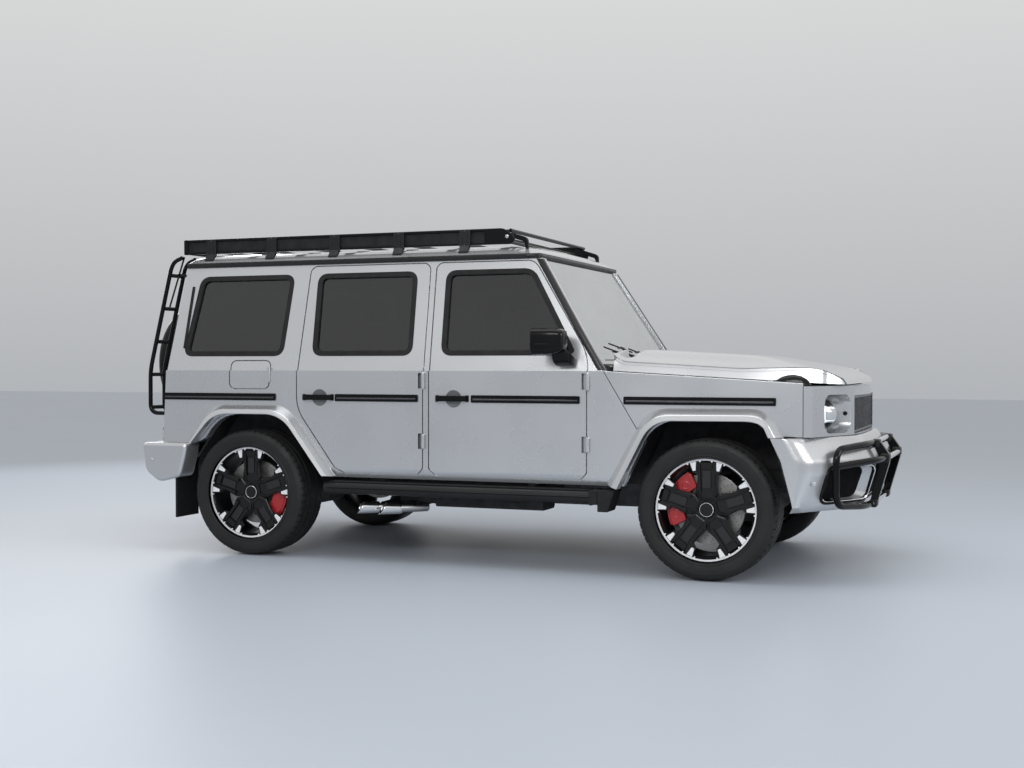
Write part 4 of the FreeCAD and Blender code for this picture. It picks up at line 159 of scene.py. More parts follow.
M = {
    "floor": surface("pale_floor", (0.4, 0.44, 0.5), 0.46, tint=0.01, tint_scale=0.2, vary=0.02,
        vary_scale=0.4),
    "paint": surface("silver_paint", (0.56, 0.572, 0.588), 0.28, metal=0.72, coat=1.0, tint=0.02,
        tint_scale=1.4, vary=0.03, vary_scale=3.0, grain=0.015, grain_scale=420, grain_depth=0.0001),
    "gutter": surface("black_gutter_paint", (0.01, 0.01, 0.011), 0.34, coat=0.2, ior=1.35, tint=0.3,
        vary=0.06, grain=0.08, grain_scale=900),
    "gloss": surface("gloss_black_paint", (0.003, 0.003, 0.0035), 0.2, coat=0.12, ior=1.25, tint=0.3,
        vary=0.04, grain=0.02, grain_scale=300, grain_depth=0.0001),
    "trim": surface("black_trim_plastic", (0.012, 0.012, 0.013), 0.48, ior=1.4, tint=0.18, vary=0.08,
        grain=0.35, grain_scale=1100, grain_depth=0.0003),
    "seam": surface("dark_seam", (0.004, 0.004, 0.005), 0.8, tint=0.3, vary=0.1, grain=0.2),
    "coated": surface("black_powder_coat", (0.01, 0.01, 0.011), 0.42, ior=1.38, tint=0.2, vary=0.07,
        grain=0.45, grain_scale=1500, grain_depth=0.0003),
    "rubber": surface("black_rubber", (0.01, 0.01, 0.0105), 0.75, ior=1.4, tint=0.2, vary=0.1, grain=0.4,
        grain_scale=700),
    "tyre": surface("tyre_rubber", (0.011, 0.011, 0.0115), 0.6, ior=1.4, tint=0.25, tint_scale=9,
        vary=0.12, grain=0.5, grain_scale=520, grain_depth=0.0005),
    "tint_glass": surface("tinted_glass", (0.06, 0.064, 0.07), 0.02, tint=0.1, vary=0.01, clear=0.92,
        ior=1.5, coat=0.6),
    "clear_glass": surface("clear_glass", (0.86, 0.89, 0.9), 0.03, metal=0.48, tint=0.02, vary=0.01,
        clear=1.0, ior=1.45),
    "lamp_glass": surface("lamp_glass", (0.56, 0.6, 0.62), 0.06, coat=1.0, tint=0.06, tint_scale=40,
        vary=0.03, clear=0.35, grain=0.3, grain_scale=90),
    "dark_chrome": surface("dark_chrome", (0.13, 0.13, 0.135), 0.26, metal=1.0, tint=0.1, vary=0.06,
        grain=0.1, grain_scale=400),
    # Handle recess in body colour painted much darker: painted shade and a painted dark reflection, not
    # the paint's own colour.
    "cup": surface("cup_painted_shade", (0.16, 0.165, 0.17), 0.34, metal=0.6, tint=0.05, vary=0.04,
        grain=0.05, grain_scale=500),
    "chrome": surface("bright_chrome", (0.8, 0.81, 0.82), 0.1, metal=1.0, tint=0.03, vary=0.04,
        grain=0.05, grain_scale=300),
    "steel": surface("brushed_steel", (0.46, 0.46, 0.47), 0.34, metal=1.0, tint=0.08, vary=0.1, grain=0.3,
        grain_scale=260, stretch=(1, 1, 9)),
    "machined": surface("machined_alloy", (0.88, 0.89, 0.9), 0.32, metal=0.25, tint=0.03, vary=0.06,
        grain=0.15, grain_scale=900),
    "rim_black": surface("black_rim_paint", (0.005, 0.005, 0.0055), 0.34, coat=0.12, ior=1.35, tint=0.2,
        vary=0.05, grain=0.1, grain_scale=900),
    "rim_panel": surface("grey_rim_panel", (0.014, 0.014, 0.015), 0.45, coat=0.1, ior=1.4, tint=0.15,
        vary=0.06, grain=0.2, grain_scale=900),
    "disc": surface("brake_disc_iron", (0.26, 0.255, 0.245), 0.4, metal=0.8, tint=0.15, tint_scale=30,
        vary=0.12, grain=0.4, grain_scale=300),
    "red": surface("red_caliper_paint", (0.4, 0.008, 0.012), 0.34, coat=0.4, tint=0.1, vary=0.06,
        grain=0.1, grain_scale=500),
    "red_lens": surface("red_lens", (0.42, 0.01, 0.012), 0.1, coat=1.0, tint=0.1, tint_scale=60,
        vary=0.03, clear=0.25, grain=0.4, grain_scale=160, grain_kind="ShaderNodeTexVoronoi"),
    "smoked": surface("smoked_lens", (0.01, 0.01, 0.01), 0.12, ior=1.3, tint=0.2, vary=0.03, grain=0.2,
        grain_scale=150, grain_kind="ShaderNodeTexVoronoi"),
    "lamp_ring": surface("lamp_ring_white", (0.93, 0.95, 0.97), 0.25, coat=0.6, tint=0.02, vary=0.04,
        grain=0.1, grain_scale=300, glow=0.25),
    "iron": surface("cast_iron", (0.1, 0.1, 0.105), 0.62, metal=0.6, tint=0.3, tint_scale=12, vary=0.15,
        grain=0.9, grain_scale=240, grain_depth=0.0008),
    "under": surface("underbody_coat", (0.018, 0.018, 0.02), 0.78, tint=0.35, tint_scale=6, vary=0.15,
        grain=0.7, grain_scale=160, grain_depth=0.0008),
    "frame_black": surface("chassis_paint", (0.018, 0.018, 0.02), 0.5, tint=0.25, vary=0.12, grain=0.4,
        grain_scale=300),
    "leather": surface("black_leather", (0.03, 0.029, 0.03), 0.46, tint=0.2, tint_scale=14, vary=0.1,
        grain=0.7, grain_scale=520, grain_depth=0.0006, grain_kind="ShaderNodeTexVoronoi", sheen=0.1),
    "dash": surface("soft_dash", (0.028, 0.028, 0.03), 0.62, tint=0.15, vary=0.08, grain=0.6,
        grain_scale=900, grain_depth=0.0004, grain_kind="ShaderNodeTexVoronoi"),
    "mesh": surface("black_mesh", (0.003, 0.003, 0.0035), 0.8, ior=1.2, tint=0.3, vary=0.1, grain=1.0,
        grain_scale=120, grain_depth=0.003, grain_kind="ShaderNodeTexVoronoi"),
}


# Mesh tools


def link(piece):
    bpy.context.scene.collection.objects.link(piece)
    return piece


def mesh_piece(name, points, faces, mat):
    mesh = bpy.data.meshes.new(name)
    mesh.from_pydata([tuple(p) for p in points], [], faces)
    mesh.materials.append(M[mat])
    return link(bpy.data.objects.new(name, mesh))


def settle(piece):
    """Apply a piece's modifiers and place to its mesh."""
    bpy.context.view_layer.update()
    graph = bpy.context.evaluated_depsgraph_get()
    mesh = bpy.data.meshes.new_from_object(piece.evaluated_get(graph))
    mesh.transform(piece.matrix_world)
    name = piece.name
    new = link(bpy.data.objects.new(name, mesh))
    bpy.data.objects.remove(piece)
    new.name = name
    return new


def edit(piece, change):
    """Run a change on a piece's mesh."""
    work = bmesh.new()
    work.from_mesh(piece.data)
    change(work)
    work.to_mesh(piece.data)
    work.free()
    return piece


def bevelled(piece, width, steps, angle=32):
    """Round the edges that turn by more than an angle."""
    def change(work):
        bmesh.ops.recalc_face_normals(work, faces=work.faces)
        edges = [e for e in work.edges if len(e.link_faces) == 2
            and e.calc_face_angle(0) > math.radians(angle)]
        bmesh.ops.bevel(work, geom=edges, offset=width, segments=steps, profile=0.5, affect="EDGES",
            clamp_overlap=True)
    return edit(piece, change)


def shaded(piece, angle):
    """Smooth shading that keeps flat faces flat and sharp edges sharp."""
    mesh = piece.data
    mesh.polygons.foreach_set("use_smooth", [True] * len(mesh.polygons))
    mesh.set_sharp_from_angle(angle=math.radians(angle))
    weigh = piece.modifiers.new("shading", "WEIGHTED_NORMAL")
    weigh.keep_sharp = True
    weigh.weight = 100
    return settle(piece)


def placed(piece, body, slot, *replaced, angle=38):
    piece = shaded(piece, angle)
    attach(piece, body)
    if replaced:
        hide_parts(*replaced)
    return piece


def moved(piece, x, y=0.0, z=0.0):
    piece.data.transform(Matrix.Translation((x, y, z)))
    return piece


def turned(piece, angle, axis):
    piece.data.transform(Matrix.Rotation(math.radians(angle), 4, axis))
    return piece


def copied(piece, name, x=0.0, y=0.0, z=0.0):
    other = link(bpy.data.objects.new(name, piece.data.copy()))
    return moved(other, x, y, z)


def both_halves(half):
    """An outline from the points on one side of its long axis."""
    return [(x, -y) for x, y in half] + [(x, y) for x, y in reversed(half)]


def other_side(piece, name):
    """A mirrored copy on the left side."""
    other = copied(piece, name)
    other.data.transform(Matrix.Scale(-1, 4, (0, 1, 0)))
    other.data.flip_normals()
    return other


def joined(name, pieces):
    """One piece made of several, with their materials kept."""
    work = bmesh.new()
    mats = []
    for piece in pieces:
        start = len(work.faces)
        work.from_mesh(piece.data)
        work.faces.ensure_lookup_table()
        for face in work.faces[start:]:
            mat = piece.data.materials[face.material_index]
            if mat not in mats:
                mats.append(mat)
            face.material_index = mats.index(mat)
        bpy.data.objects.remove(piece)
    mesh = bpy.data.meshes.new(name)
    work.to_mesh(mesh)
    work.free()
    for mat in mats:
        mesh.materials.append(mat)
    return link(bpy.data.objects.new(name, mesh))


def mirror_pair(name, pieces):
    """The pieces and their copies on the left, as one piece."""
    return joined(name, list(pieces) + [other_side(p, p.name + "_left") for p in pieces])


def both_sides(right, body, slot, *replaced):
    """Place a piece of the right side and its mirrored copy on the left."""
    left = other_side(right, right.name.replace("right", "left"))
    for piece, side in ((right, "right"), (left, "left")):
        placed(piece, body.replace("right", side), slot,
            *[node.replace("right", side) for node in replaced])


def rounded(corners, size, steps, closed=True):
    """An outline or path with its corners rounded; a corner may carry its own size."""
    path = []
    count = len(corners)
    for i, corner in enumerate(corners):
        if isinstance(corner[0], (tuple, list)):
            at, reach = Vector(corner[0]), corner[1]
        else:
            at, reach = Vector(corner), size
        if not closed and i in (0, count - 1) or reach == 0:
            path.append(at)
            continue
        near = [corners[(i + k) % count] for k in (-1, 1)]
        near = [Vector(c[0]) if isinstance(c[0], (tuple, list)) else Vector(c) for c in near]
        ends = []
        for other in near:
            way = other - at
            ends.append(at + way * min(reach / way.length, 0.48))
        for k in range(steps + 1):
            t = k / steps
            path.append(ends[0] * (1 - t) ** 2 + at * 2 * t * (1 - t) + ends[1] * t * t)
    return path


def grown(outline, by):
    """A closed flat outline moved outward by some distance."""
    count = len(outline)
    area = sum(outline[i].x * outline[(i + 1) % count].y - outline[(i + 1) % count].x * outline[i].y
        for i in range(count))
    side = 1 if area > 0 else -1
    out = []
    for i in range(count):
        before = (outline[i] - outline[i - 1]).normalized()
        after = (outline[(i + 1) % count] - outline[i]).normalized()
        way = (before + after).normalized()
        push = Vector((way.y, -way.x)) * side
        out.append(outline[i] + push * by / max(0.5, before.dot(way)))
    return out


def lay(axis, along, a, b):
    """A point from its place along an axis and its two places across it."""
    return {"x": (along, a, b), "y": (a, along, b), "z": (a, b, along)}[axis]


def oblong(left, right, low, high):
    """The corners of a rectangle."""
    return [(left, low), (right, low), (right, high), (left, high)]


def slab(name, outline, axis, low, high, mat, width=0.003, steps=2):
    """A plate with this outline between two stations on an axis, its edges rounded."""
    count = len(outline)
    points = [lay(axis, station, p[0], p[1]) for station in (low, high) for p in outline]
    faces = [tuple(range(count)), tuple(range(count, count * 2))]
    faces += [(i, (i + 1) % count, (i + 1) % count + count, i + count) for i in range(count)]
    piece = mesh_piece(name, points, faces, mat)
    if width:
        return bevelled(piece, width, steps)
    return edit(piece, lambda work: bmesh.ops.recalc_face_normals(work, faces=work.faces))


def round_slab(name, corners, size, bends, *place, **edges):
    """A plate like slab's, with the corners of its outline rounded."""
    return slab(name, rounded(corners, size, bends), *place, **edges)


def brick(name, x, y, z, mat, width, steps=2):
    """A block between three pairs of stations with rounded edges."""
    return slab(name, oblong(*x, *y), "z", *z, mat, width, steps)


def rows(name, loops, mat, closed=True, ends=False, wrap=False):
    """A skin over rows of as many points each."""
    count = len(loops[0])
    points = [p for loop in loops for p in loop]
    faces = []
    pairs = [(k, k + 1) for k in range(len(loops) - 1)]
    if wrap:
        pairs.append((len(loops) - 1, 0))
    for k, m in pairs:
        for i in range(count if closed else count - 1):
            j = (i + 1) % count
            faces.append((k * count + i, k * count + j, m * count + j, m * count + i))
    if ends:
        faces.append(tuple(range(count)))
        faces.append(tuple(range((len(loops) - 1) * count, len(loops) * count)))
    piece = mesh_piece(name, points, faces, mat)
    return edit(piece, lambda work: bmesh.ops.recalc_face_normals(work, faces=work.faces))


def lathe(name, profile, axis, centre, mat, sides, closed=False):
    """A profile of stations and radii turned round an axis."""
    loops = []
    for i in range(sides):
        turn = math.radians(360 * i / sides)
        c, s = math.cos(turn), math.sin(turn)
        loops.append([Vector(lay(axis, a, r * c, r * s)) + Vector(centre) for a, r in profile])
    return rows(name, loops, mat, closed=closed, wrap=True)


def painted_by(piece, mats, pick):
    """Materials for a piece by where its faces lie."""
    piece.data.materials.clear()
    for mat in mats:
        piece.data.materials.append(M[mat])
    for face in piece.data.polygons:
        face.material_index = pick(face)
    return piece


def pipe(name, corners, radius, mat, bend, sides, loop=False, steps=5):
    """A round tube along a bent path, with slightly rounded ends."""
    path = rounded(corners, bend, steps, closed=loop)
    count = len(path)
    loops = []
    side = None
    for i, point in enumerate(path):
        before = path[i - 1] if i or loop else point
        after = path[(i + 1) % count] if i < count - 1 or loop else point
        way = (after - before).normalized()
        if side is None:
            side = way.cross(Vector((0.31, 0.17, 0.93))).normalized()
        side = (side - way * side.dot(way)).normalized()
        up = way.cross(side)
        ring = [point + (side * math.cos(math.tau * k / sides)
            + up * math.sin(math.tau * k / sides)) * radius for k in range(sides)]
        loops.append(ring)
    if not loop:
        for end, inner, at in ((0, 1, path[0]), (-1, -2, path[-1])):
            way = (path[end] - path[inner]).normalized()
            cap = [at + (p - at) * 0.72 for p in loops[end]]
            shifted = [p - way * radius * 0.28 for p in loops[end]]
            loops[end] = shifted
            loops.insert(0 if end == 0 else len(loops), cap)
    return rows(name, loops, mat, ends=not loop, wrap=loop)


def dressed(node, mat, width, steps=2, paint_by=None, extra=(), angle=32, axis=None, flats=(0.018, 0.16),
        drop=None, soft=()):
    """Stand-in for a CAD panel with the same shape, rounded corners and its own materials."""
    source = NODES[node]
    work = bmesh.new()
    work.from_mesh(source.data)
    bmesh.ops.remove_doubles(work, verts=work.verts, dist=0.00002)
    bmesh.ops.dissolve_limit(work, angle_limit=math.radians(1.2), verts=work.verts, edges=work.edges)
    if drop:
        bmesh.ops.delete(work, geom=[f for f in work.faces if drop(f.calc_center_median())],
            context="FACES")
    if axis is not None:
        round_flats(work, axis, flats)
    for each, low, high, size in soft:
        soften(work, each, low, high, size)
    edges = [e for e in work.edges if len(e.link_faces) == 2
        and e.calc_face_angle(0) > math.radians(angle)]
    bmesh.ops.bevel(work, geom=edges, offset=width, segments=steps, profile=0.5, affect="EDGES",
        clamp_overlap=True)
    for face in work.faces:
        face.material_index = paint_by(face.calc_center_median()) if paint_by else 0
    mesh = bpy.data.meshes.new(node + "_panel")
    work.to_mesh(mesh)
    work.free()
    layer = mesh.attributes.get("custom_normal")
    if layer:
        mesh.attributes.remove(layer)
    mesh.materials.clear()
    for each in (mat, *extra):
        mesh.materials.append(M[each])
    piece = link(bpy.data.objects.new(node + "_panel", mesh))
    return placed(piece, source["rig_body"], slot_of(node), node, angle=50)


def slot_of(node):
    return next(s["material_slot"] for s in frame["record"]["subparts"] if s["node"] == node)


def round_flats(work, axis, flats):
    """Turn corners that are cut flat, along one axis, into rounded ones."""
    along = Vector([1.0 if i == axis else 0.0 for i in range(3)])
    found = {}
    for face in work.faces:
        if abs(face.normal.dot(along)) > 0.3:
            continue
        sides = []
        for edge in face.edges:
            if len(edge.link_faces) != 2:
                continue
            way = (edge.verts[1].co - edge.verts[0].co).normalized()
            turn = math.degrees(edge.calc_face_angle(0))
            if abs(way.dot(along)) > 0.93 and 14 < turn < 66:
                sides.append(edge)
        if len(sides) != 2:
            continue
        gap = (sum((v.co for v in sides[0].verts), Vector())
            - sum((v.co for v in sides[1].verts), Vector())) / 2
        gap -= along * gap.dot(along)
        if flats[0] < gap.length < flats[1]:
            for edge in sides:
                found[edge] = min(found.get(edge, 1.0), gap.length)
    groups = {}
    for edge, wide in found.items():
        groups.setdefault(round(wide, 3), []).append(edge)
    for wide, edges in groups.items():
        edges = [e for e in edges if e.is_valid]
        bmesh.ops.bevel(work, geom=edges, offset=wide * 0.44, segments=4, profile=0.5, affect="EDGES",
            clamp_overlap=True)


def painted(node, mat):
    """Give a CAD node that stays its material."""
    mesh = NODES[node].data
    mesh.materials.clear()
    mesh.materials.append(M[mat])


def soften(work, axis, low, high, size):
    """Round the long edges along an axis that turn by between two angles."""
    along = Vector([1.0 if i == axis else 0.0 for i in range(3)])
    edges = []
    for edge in work.edges:
        way = edge.verts[1].co - edge.verts[0].co
        turn = math.degrees(edge.calc_face_angle(0)) if len(edge.link_faces) == 2 else 0
        if way.length > 0.04 and abs(way.normalized().dot(along)) > 0.8 and low < turn < high:
            edges.append(edge)
    bmesh.ops.bevel(work, geom=edges, offset=size, segments=6, profile=0.5, affect="EDGES",
        clamp_overlap=True)


# Stage


def stage_scene():
    scene = bpy.context.scene
    scene.view_settings.view_transform = "Standard"
    reach = oblong(-FLOOR_REACH, FLOOR_REACH, -FLOOR_REACH, FLOOR_REACH)
    floor = mesh_piece("floor", [(x, y, 0) for x, y in reach], [(0, 1, 2, 3)], "floor")
    world = bpy.data.worlds.new("studio")
    scene.world = world
    world.use_nodes = True
    tree = world.node_tree
    back = tree.nodes["Background"]
    place = tree.nodes.new("ShaderNodeTexCoord")
    split = tree.nodes.new("ShaderNodeSeparateXYZ")
    tree.links.new(place.outputs["Generated"], split.inputs[0])
    height = ranged(tree, split.outputs["Z"], 0, 1, -0.02, 0.3)
    sky = mixed(tree, height, (0.62, 0.64, 0.67), (1.0, 1.0, 1.0))
    tree.links.new(sky, back.inputs["Color"])
    back.inputs["Strength"].default_value = 0.72
    for name, place, aim, size, power in (("top_light", (0.5, -1.0, 6.0), (0, 0, 0.8), (7.0, 3.0), 130),
            ("side_light", (2.0, -9.0, 4.6), (0, 0, 0.9), (7.0, 1.6), 300),
            ("front_light", (8.0, -1.0, 3.2), (1.5, 0, 0.9), (3.0, 2.5), 150),
            ("back_light", (-7.0, 4.5, 3.8), (0, 0, 1.0), (5.0, 3.0), 130)):
        lamp = bpy.data.lights.new(name, "AREA")
        lamp.shape = "RECTANGLE"
        lamp.size, lamp.size_y = size
        lamp.energy = power
        light = link(bpy.data.objects.new(name, lamp))
        light.location = place
        light.rotation_euler = (Vector(aim) - Vector(place)).to_track_quat("-Z", "Y").to_euler()
    lens = bpy.data.cameras.new("camera")
    lens.lens = CAMERA_LENS
    camera = link(bpy.data.objects.new("camera", lens))
    camera.location = CAMERA_AT
    turn, tilt = math.radians(CAMERA_TURN), math.radians(CAMERA_TILT)
    ahead = Vector((-math.sin(turn) * math.cos(tilt), math.cos(turn) * math.cos(tilt), math.sin(tilt)))
    camera.rotation_euler = ahead.to_track_quat("-Z", "Y").to_euler()
    scene.camera = camera


# Body


def wall_y(z):
    """Where the right side's skin lies at a height."""
    return -WALL if z <= BELT else -BELT_WALL + (z - BELT) * WALL_LEAN


WINDOWS = {
    "front_door_right": [(-0.0687, 1.25), (0.757, 1.25), (0.474, 1.741), (-0.0687, 1.741)],
    "rear_side_door_right": oblong(-0.9397, -0.2773, 1.25, 1.741),
    "body": [(-1.878, 1.25), (-1.164, 1.25), (-1.125, 1.741), (-1.796, 1.741)],
}


def window_seal(name, corners):
    """Black frame round a side window, on the leaning wall."""
    edge = rounded(corners, 0.058, 6)
    loops = []
    for by, out in ((0.011, -0.006), (0.011, 0.0015), (0.008, 0.003), (-0.016, 0.003), (-0.02, 0.001),
            (-0.022, -0.012)):
        loops.append([(p.x, wall_y(p.y) - out, p.y) for p in grown(edge, by)])
    return rows(name, loops, "rubber")


def window_seals():
    for kind, corners in WINDOWS.items():
        base = kind.replace("_right", "")
        both_sides(window_seal(f"seal_{base}_right", corners), kind, "rubber")


def body_panels():
    handle_zone = lambda p: abs(p.y) > 0.8965
    for side in ("right", "left"):
        dressed(f"body_side_{side}", "paint", 0.004, axis=1)
        for end in ("front", "rear"):
            dressed(f"door_{end}_{side}", "paint", 0.004, 2, axis=1, drop=handle_zone)
    dressed("fuel_flap", "paint", 0.003, axis=1)
    dressed("fenders", "paint", 0.006, 3, axis=1, flats=(0.03, 0.16), soft=((0, 12, 70, 0.012),))
    dressed("front_panel", "paint", 0.007, 3, axis=0, flats=(0.02, 0.14), soft=((2, 30, 70, 0.032),))
    dressed("rear_frame", "paint", 0.004, 2, axis=0)
    hinge_paint = lambda p: 1 if p.x < -2.03 and abs(p.y) < 0.2 else 0
    dressed("rear_door", "paint", 0.005, 2, hinge_paint, ("coated",), axis=0)
    dressed("mud_flaps", "rubber", 0.003)
    dressed("cowl", "trim", 0.002)


def bonnet():
    """Bonnet pressed smooth: the CAD lid's top, sampled from above and relaxed."""
    mesh = NODES["bonnet"].data
    skin = BVHTree.FromPolygons([v.co for v in mesh.vertices], [tuple(p.vertices) for p in mesh.polygons])

    def top(x, y):
        hit = skin.ray_cast(Vector((x, y, 2)), Vector((0, 0, -1)))[0]
        return hit.z if hit else None

    def under(x, y):
        hit = skin.ray_cast(Vector((x, y, 0)), Vector((0, 0, 1)))[0]
        return hit.z if hit else None
    across, along = 56, 64
    rear, rear_row, front_row, front = 0.9285, 0.94, 2.236, 2.2545
    widest, sheet, hem = 0.7715, 0.018, 0.0004
    grid = []
    for i in range(along + 1):
        x = rear_row + (front_row - rear_row) * (i - 1) / (along - 2)
        x = {0: rear, along: front}.get(i, x)
        edge = next(e for e in (widest - 0.001 * k for k in range(760)) if top(x, e) is not None)
        row = []
        for k in range(across + 1):
            y = -edge * math.cos(math.pi * k / across)
            if k in (1, across - 1):
                y = math.copysign(edge - 0.021, y)
            y = max(-edge, min(edge, y))
            low = i in (0, along) or k in (0, across)
            found = (under if low else top)(x, y * 0.998)
            row.append(Vector((x, y, found or 1.1)))
        for k in (2, across - 2):
            row[k].y = math.copysign(max(abs(row[k].y) - 0.012, 0), row[k].y)
            if 0 < i < along:
                row[k].z = top(x, row[k].y)
        grid.append(row)
    for _ in range(14):
        flat = [[p.z for p in row] for row in grid]
        for i in range(2, along - 1):
            for k in range(2, across - 1):
                around = (flat[i - 1][k] + flat[i + 1][k] + flat[i][k - 1] + flat[i][k + 1]) / 4
                grid[i][k].z = flat[i][k] * 0.4 + around * 0.6
    count = across + 1
    points = [p for row in grid for p in row]
    for i, row in enumerate(grid):
        for k, p in enumerate(row):
            inside = 1 < i < along - 1 and 1 < k < across - 1
            points.append(p - Vector((0, 0, sheet if inside else hem)))
    shift = count * (along + 1)
    faces = []
    for i in range(along):
        for k in range(across):
            a, b = i * count + k, (i + 1) * count + k
            faces.append((a, b, b + 1, a + 1))
            faces.append((a + shift, a + 1 + shift, b + 1 + shift, b + shift))
    rim = list(range(count)) + [i * count + across for i in range(1, along + 1)]
    rim += [along * count + k for k in range(across - 1, -1, -1)]
    rim += [i * count for i in range(along - 1, 0, -1)]
    for a, b in zip(rim, rim[1:] + rim[:1]):
        faces.append((a, b, b + shift, a + shift))
    lid = mesh_piece("bonnet_skin", points, faces, "paint")
    placed(lid, "bonnet_lid", "body_paint", "bonnet", angle=75)


def arch_flares():
    """Flared wheel-arch mouldings with a crest, a flat lip and a turned-in edge."""
    arches = {"front": ([(1.042, 0.49), ((1.238, 0.875), 0.12), ((1.845, 0.879), 0.1), (1.884, 0.793)],
        [(0.965, 0.511), ((1.2, 0.943), 0.12), ((1.87, 0.946), 0.1), (1.956, 0.793)]),
        "rear": ([(-0.827, 0.511), ((-1.111, 0.881), 0.12), ((-1.593, 0.878), 0.1), (-1.762, 0.69)],
        [(-0.769, 0.506), ((-1.107, 0.939), 0.12), ((-1.649, 0.938), 0.1), (-1.806, 0.69)])}
    pieces = []
    for end, (inner, outer) in arches.items():
        inner = rounded(inner, 0, 8, False)
        outer = rounded(outer, 0, 8, False)
        loops = []
        for t, y in ((-0.02, 0.893), (0.0, 0.8965), (0.05, 0.903), (0.42, 0.95), (0.5, 0.96),
                (0.56, 0.965), (0.93, 0.977), (0.985, 0.975), (1.0, 0.969), (1.0, 0.9)):
            loops.append([(a.x + (b.x - a.x) * t, -y, a.y + (b.y - a.y) * t)
                for a, b in zip(outer, inner)])
        pieces.append(rows(f"flare_{end}", loops, "paint", closed=False))
        for k in (0, -1):
            cap = [loop[k] for loop in loops]
            pieces.append(mesh_piece(f"flare_{end}_end{k}", cap, [tuple(range(len(cap)))], "paint"))
    whole = mirror_pair("arch_flare_mouldings", pieces)
    edit(whole, lambda work: bmesh.ops.remove_doubles(work, verts=work.verts, dist=0.0001))
    placed(whole, "body", "body_paint", "arch_flares", angle=30)


def side_strip(name, x0, x1, body):
    """Black rubbing strip with a bright line let into it."""
    z, y = 0.985, WALL
    ends = oblong(x0, x1, z - 0.022, z + 0.022)
    strip = round_slab(name, ends, 0.006, 3, "y", -y - 0.01, -y + 0.002, "gloss", 0.003, 3)
    line = round_slab(name + "_line", oblong(x0 + 0.012, x1 - 0.012, z - 0.008, z + 0.001), 0.003, 2, "y",
        -y - 0.0116, -y - 0.008, "dark_chrome", 0.001, 1)
    both_sides(joined(name, [strip, line]), body, "black_trim")


def side_details():
    for place, rear, front, body in (("quarter", -2.012, -1.188, "body"),
            ("rear_door", -0.77, -0.215, "rear_side_door_right"),
            ("front_door", 0.13, 0.8, "front_door_right"), ("fender", 1.06, 1.914, "body")):
        side_strip(f"strip_{place}_right", rear, front, body)
    for kind, rear, hinge_x in (("front_door", -0.142, 0.849), ("rear_side_door", -1.038, -0.176)):
        x0 = rear + 0.044
        x1 = x0 + 0.21
        grip = round_slab("grip", ((x0 - 0.003, -0.897), (x0 + 0.01, -0.926), (x0 + 0.03, -0.932),
            (x1 - 0.03, -0.932), (x1 - 0.01, -0.926), (x1 + 0.003, -0.897), (x1 - 0.018, -0.895),
            (x1 - 0.03, -0.914), (x0 + 0.03, -0.914), (x0 + 0.018, -0.895)), 0.01, 3, "z", 0.97, 1.003,
            "gloss", 0.006, 3)
        feet = [brick("foot", (x - 0.011, x + 0.011), (-0.8985, -0.8935), (0.966, 1.006), "trim", 0.002)
            for x in (x0 + 0.008, x1 - 0.008)]
        middle = (x0 + x1) / 2
        # The cup is the body-colour recess behind the grip, painted darker as painted shade and a painted
        # dark reflection.
        cup = lathe("cup", [(-0.8956, 0.052), (-0.8975, 0.05), (-0.8965, 0.046), (-0.8952, 0.03),
            (-0.895, 0.0)], "y", (middle + 0.01, 0, 0.985), "cup", 40)
        handle = joined(f"handle_{kind}_right", [grip, *feet, cup])
        barrels = []
        for low, high in ((0.69, 0.77), (1.042, 1.138)):
            barrels.append(lathe("barrel", [(low - 0.004, 0.0), (low - 0.003, 0.006), (low, 0.0098),
                (low + 0.003, 0.0104), (high - 0.003, 0.0104), (high, 0.0098), (high + 0.003, 0.006),
                (high + 0.004, 0.0)], "z", (hinge_x, -0.907, 0), "paint", 24))
            barrels.append(brick("leaf", (hinge_x - 0.0065, hinge_x + 0.0065), (-0.906, -0.8935),
                (low, high), "paint", 0.001, 1))
        hinge = joined(f"hinges_{kind}_right", barrels)
        both_sides(handle, f"{kind}_right", "gloss_black")
        both_sides(hinge, f"{kind}_right", "body_paint")
    gutter = round_slab("gutter", ((-0.7655, 1.8075), (-0.7785, 1.8125), (-0.7785, 1.834),
        (-0.7655, 1.84)), 0.004, 3, "x", -1.917, 0.508, "gutter", 0.002, 2)
    pillar = rows("pillar", [[(x + dx, wall_y(z) - out, z)
        for z, x in ((1.155, 0.9365), (1.35, 0.8118), (1.55, 0.687), (1.75, 0.562), (1.806, 0.527))]
        for dx, out in ((-0.036, -0.001), (-0.036, 0.003), (-0.03, 0.005), (-0.008, 0.005), (0.0, 0.003),
        (0.003, -0.004), (0.002, -0.03))], "gutter", closed=False)
    placed(mirror_pair("gutter_bands", [gutter, pillar]), "body", "black_trim")
    vent = round_slab("vent", ((-1.893, 1.29), (-1.875, 1.29), (-1.848, 1.69), (-1.866, 1.69)), 0.008, 4,
        "y", -0.006, 0.004, "seam", 0.002)
    for vertex in vent.data.vertices:
        vertex.co.y += wall_y(vertex.co.z)
    placed(mirror_pair("pillar_vents", [vent]), "body", "black_trim")


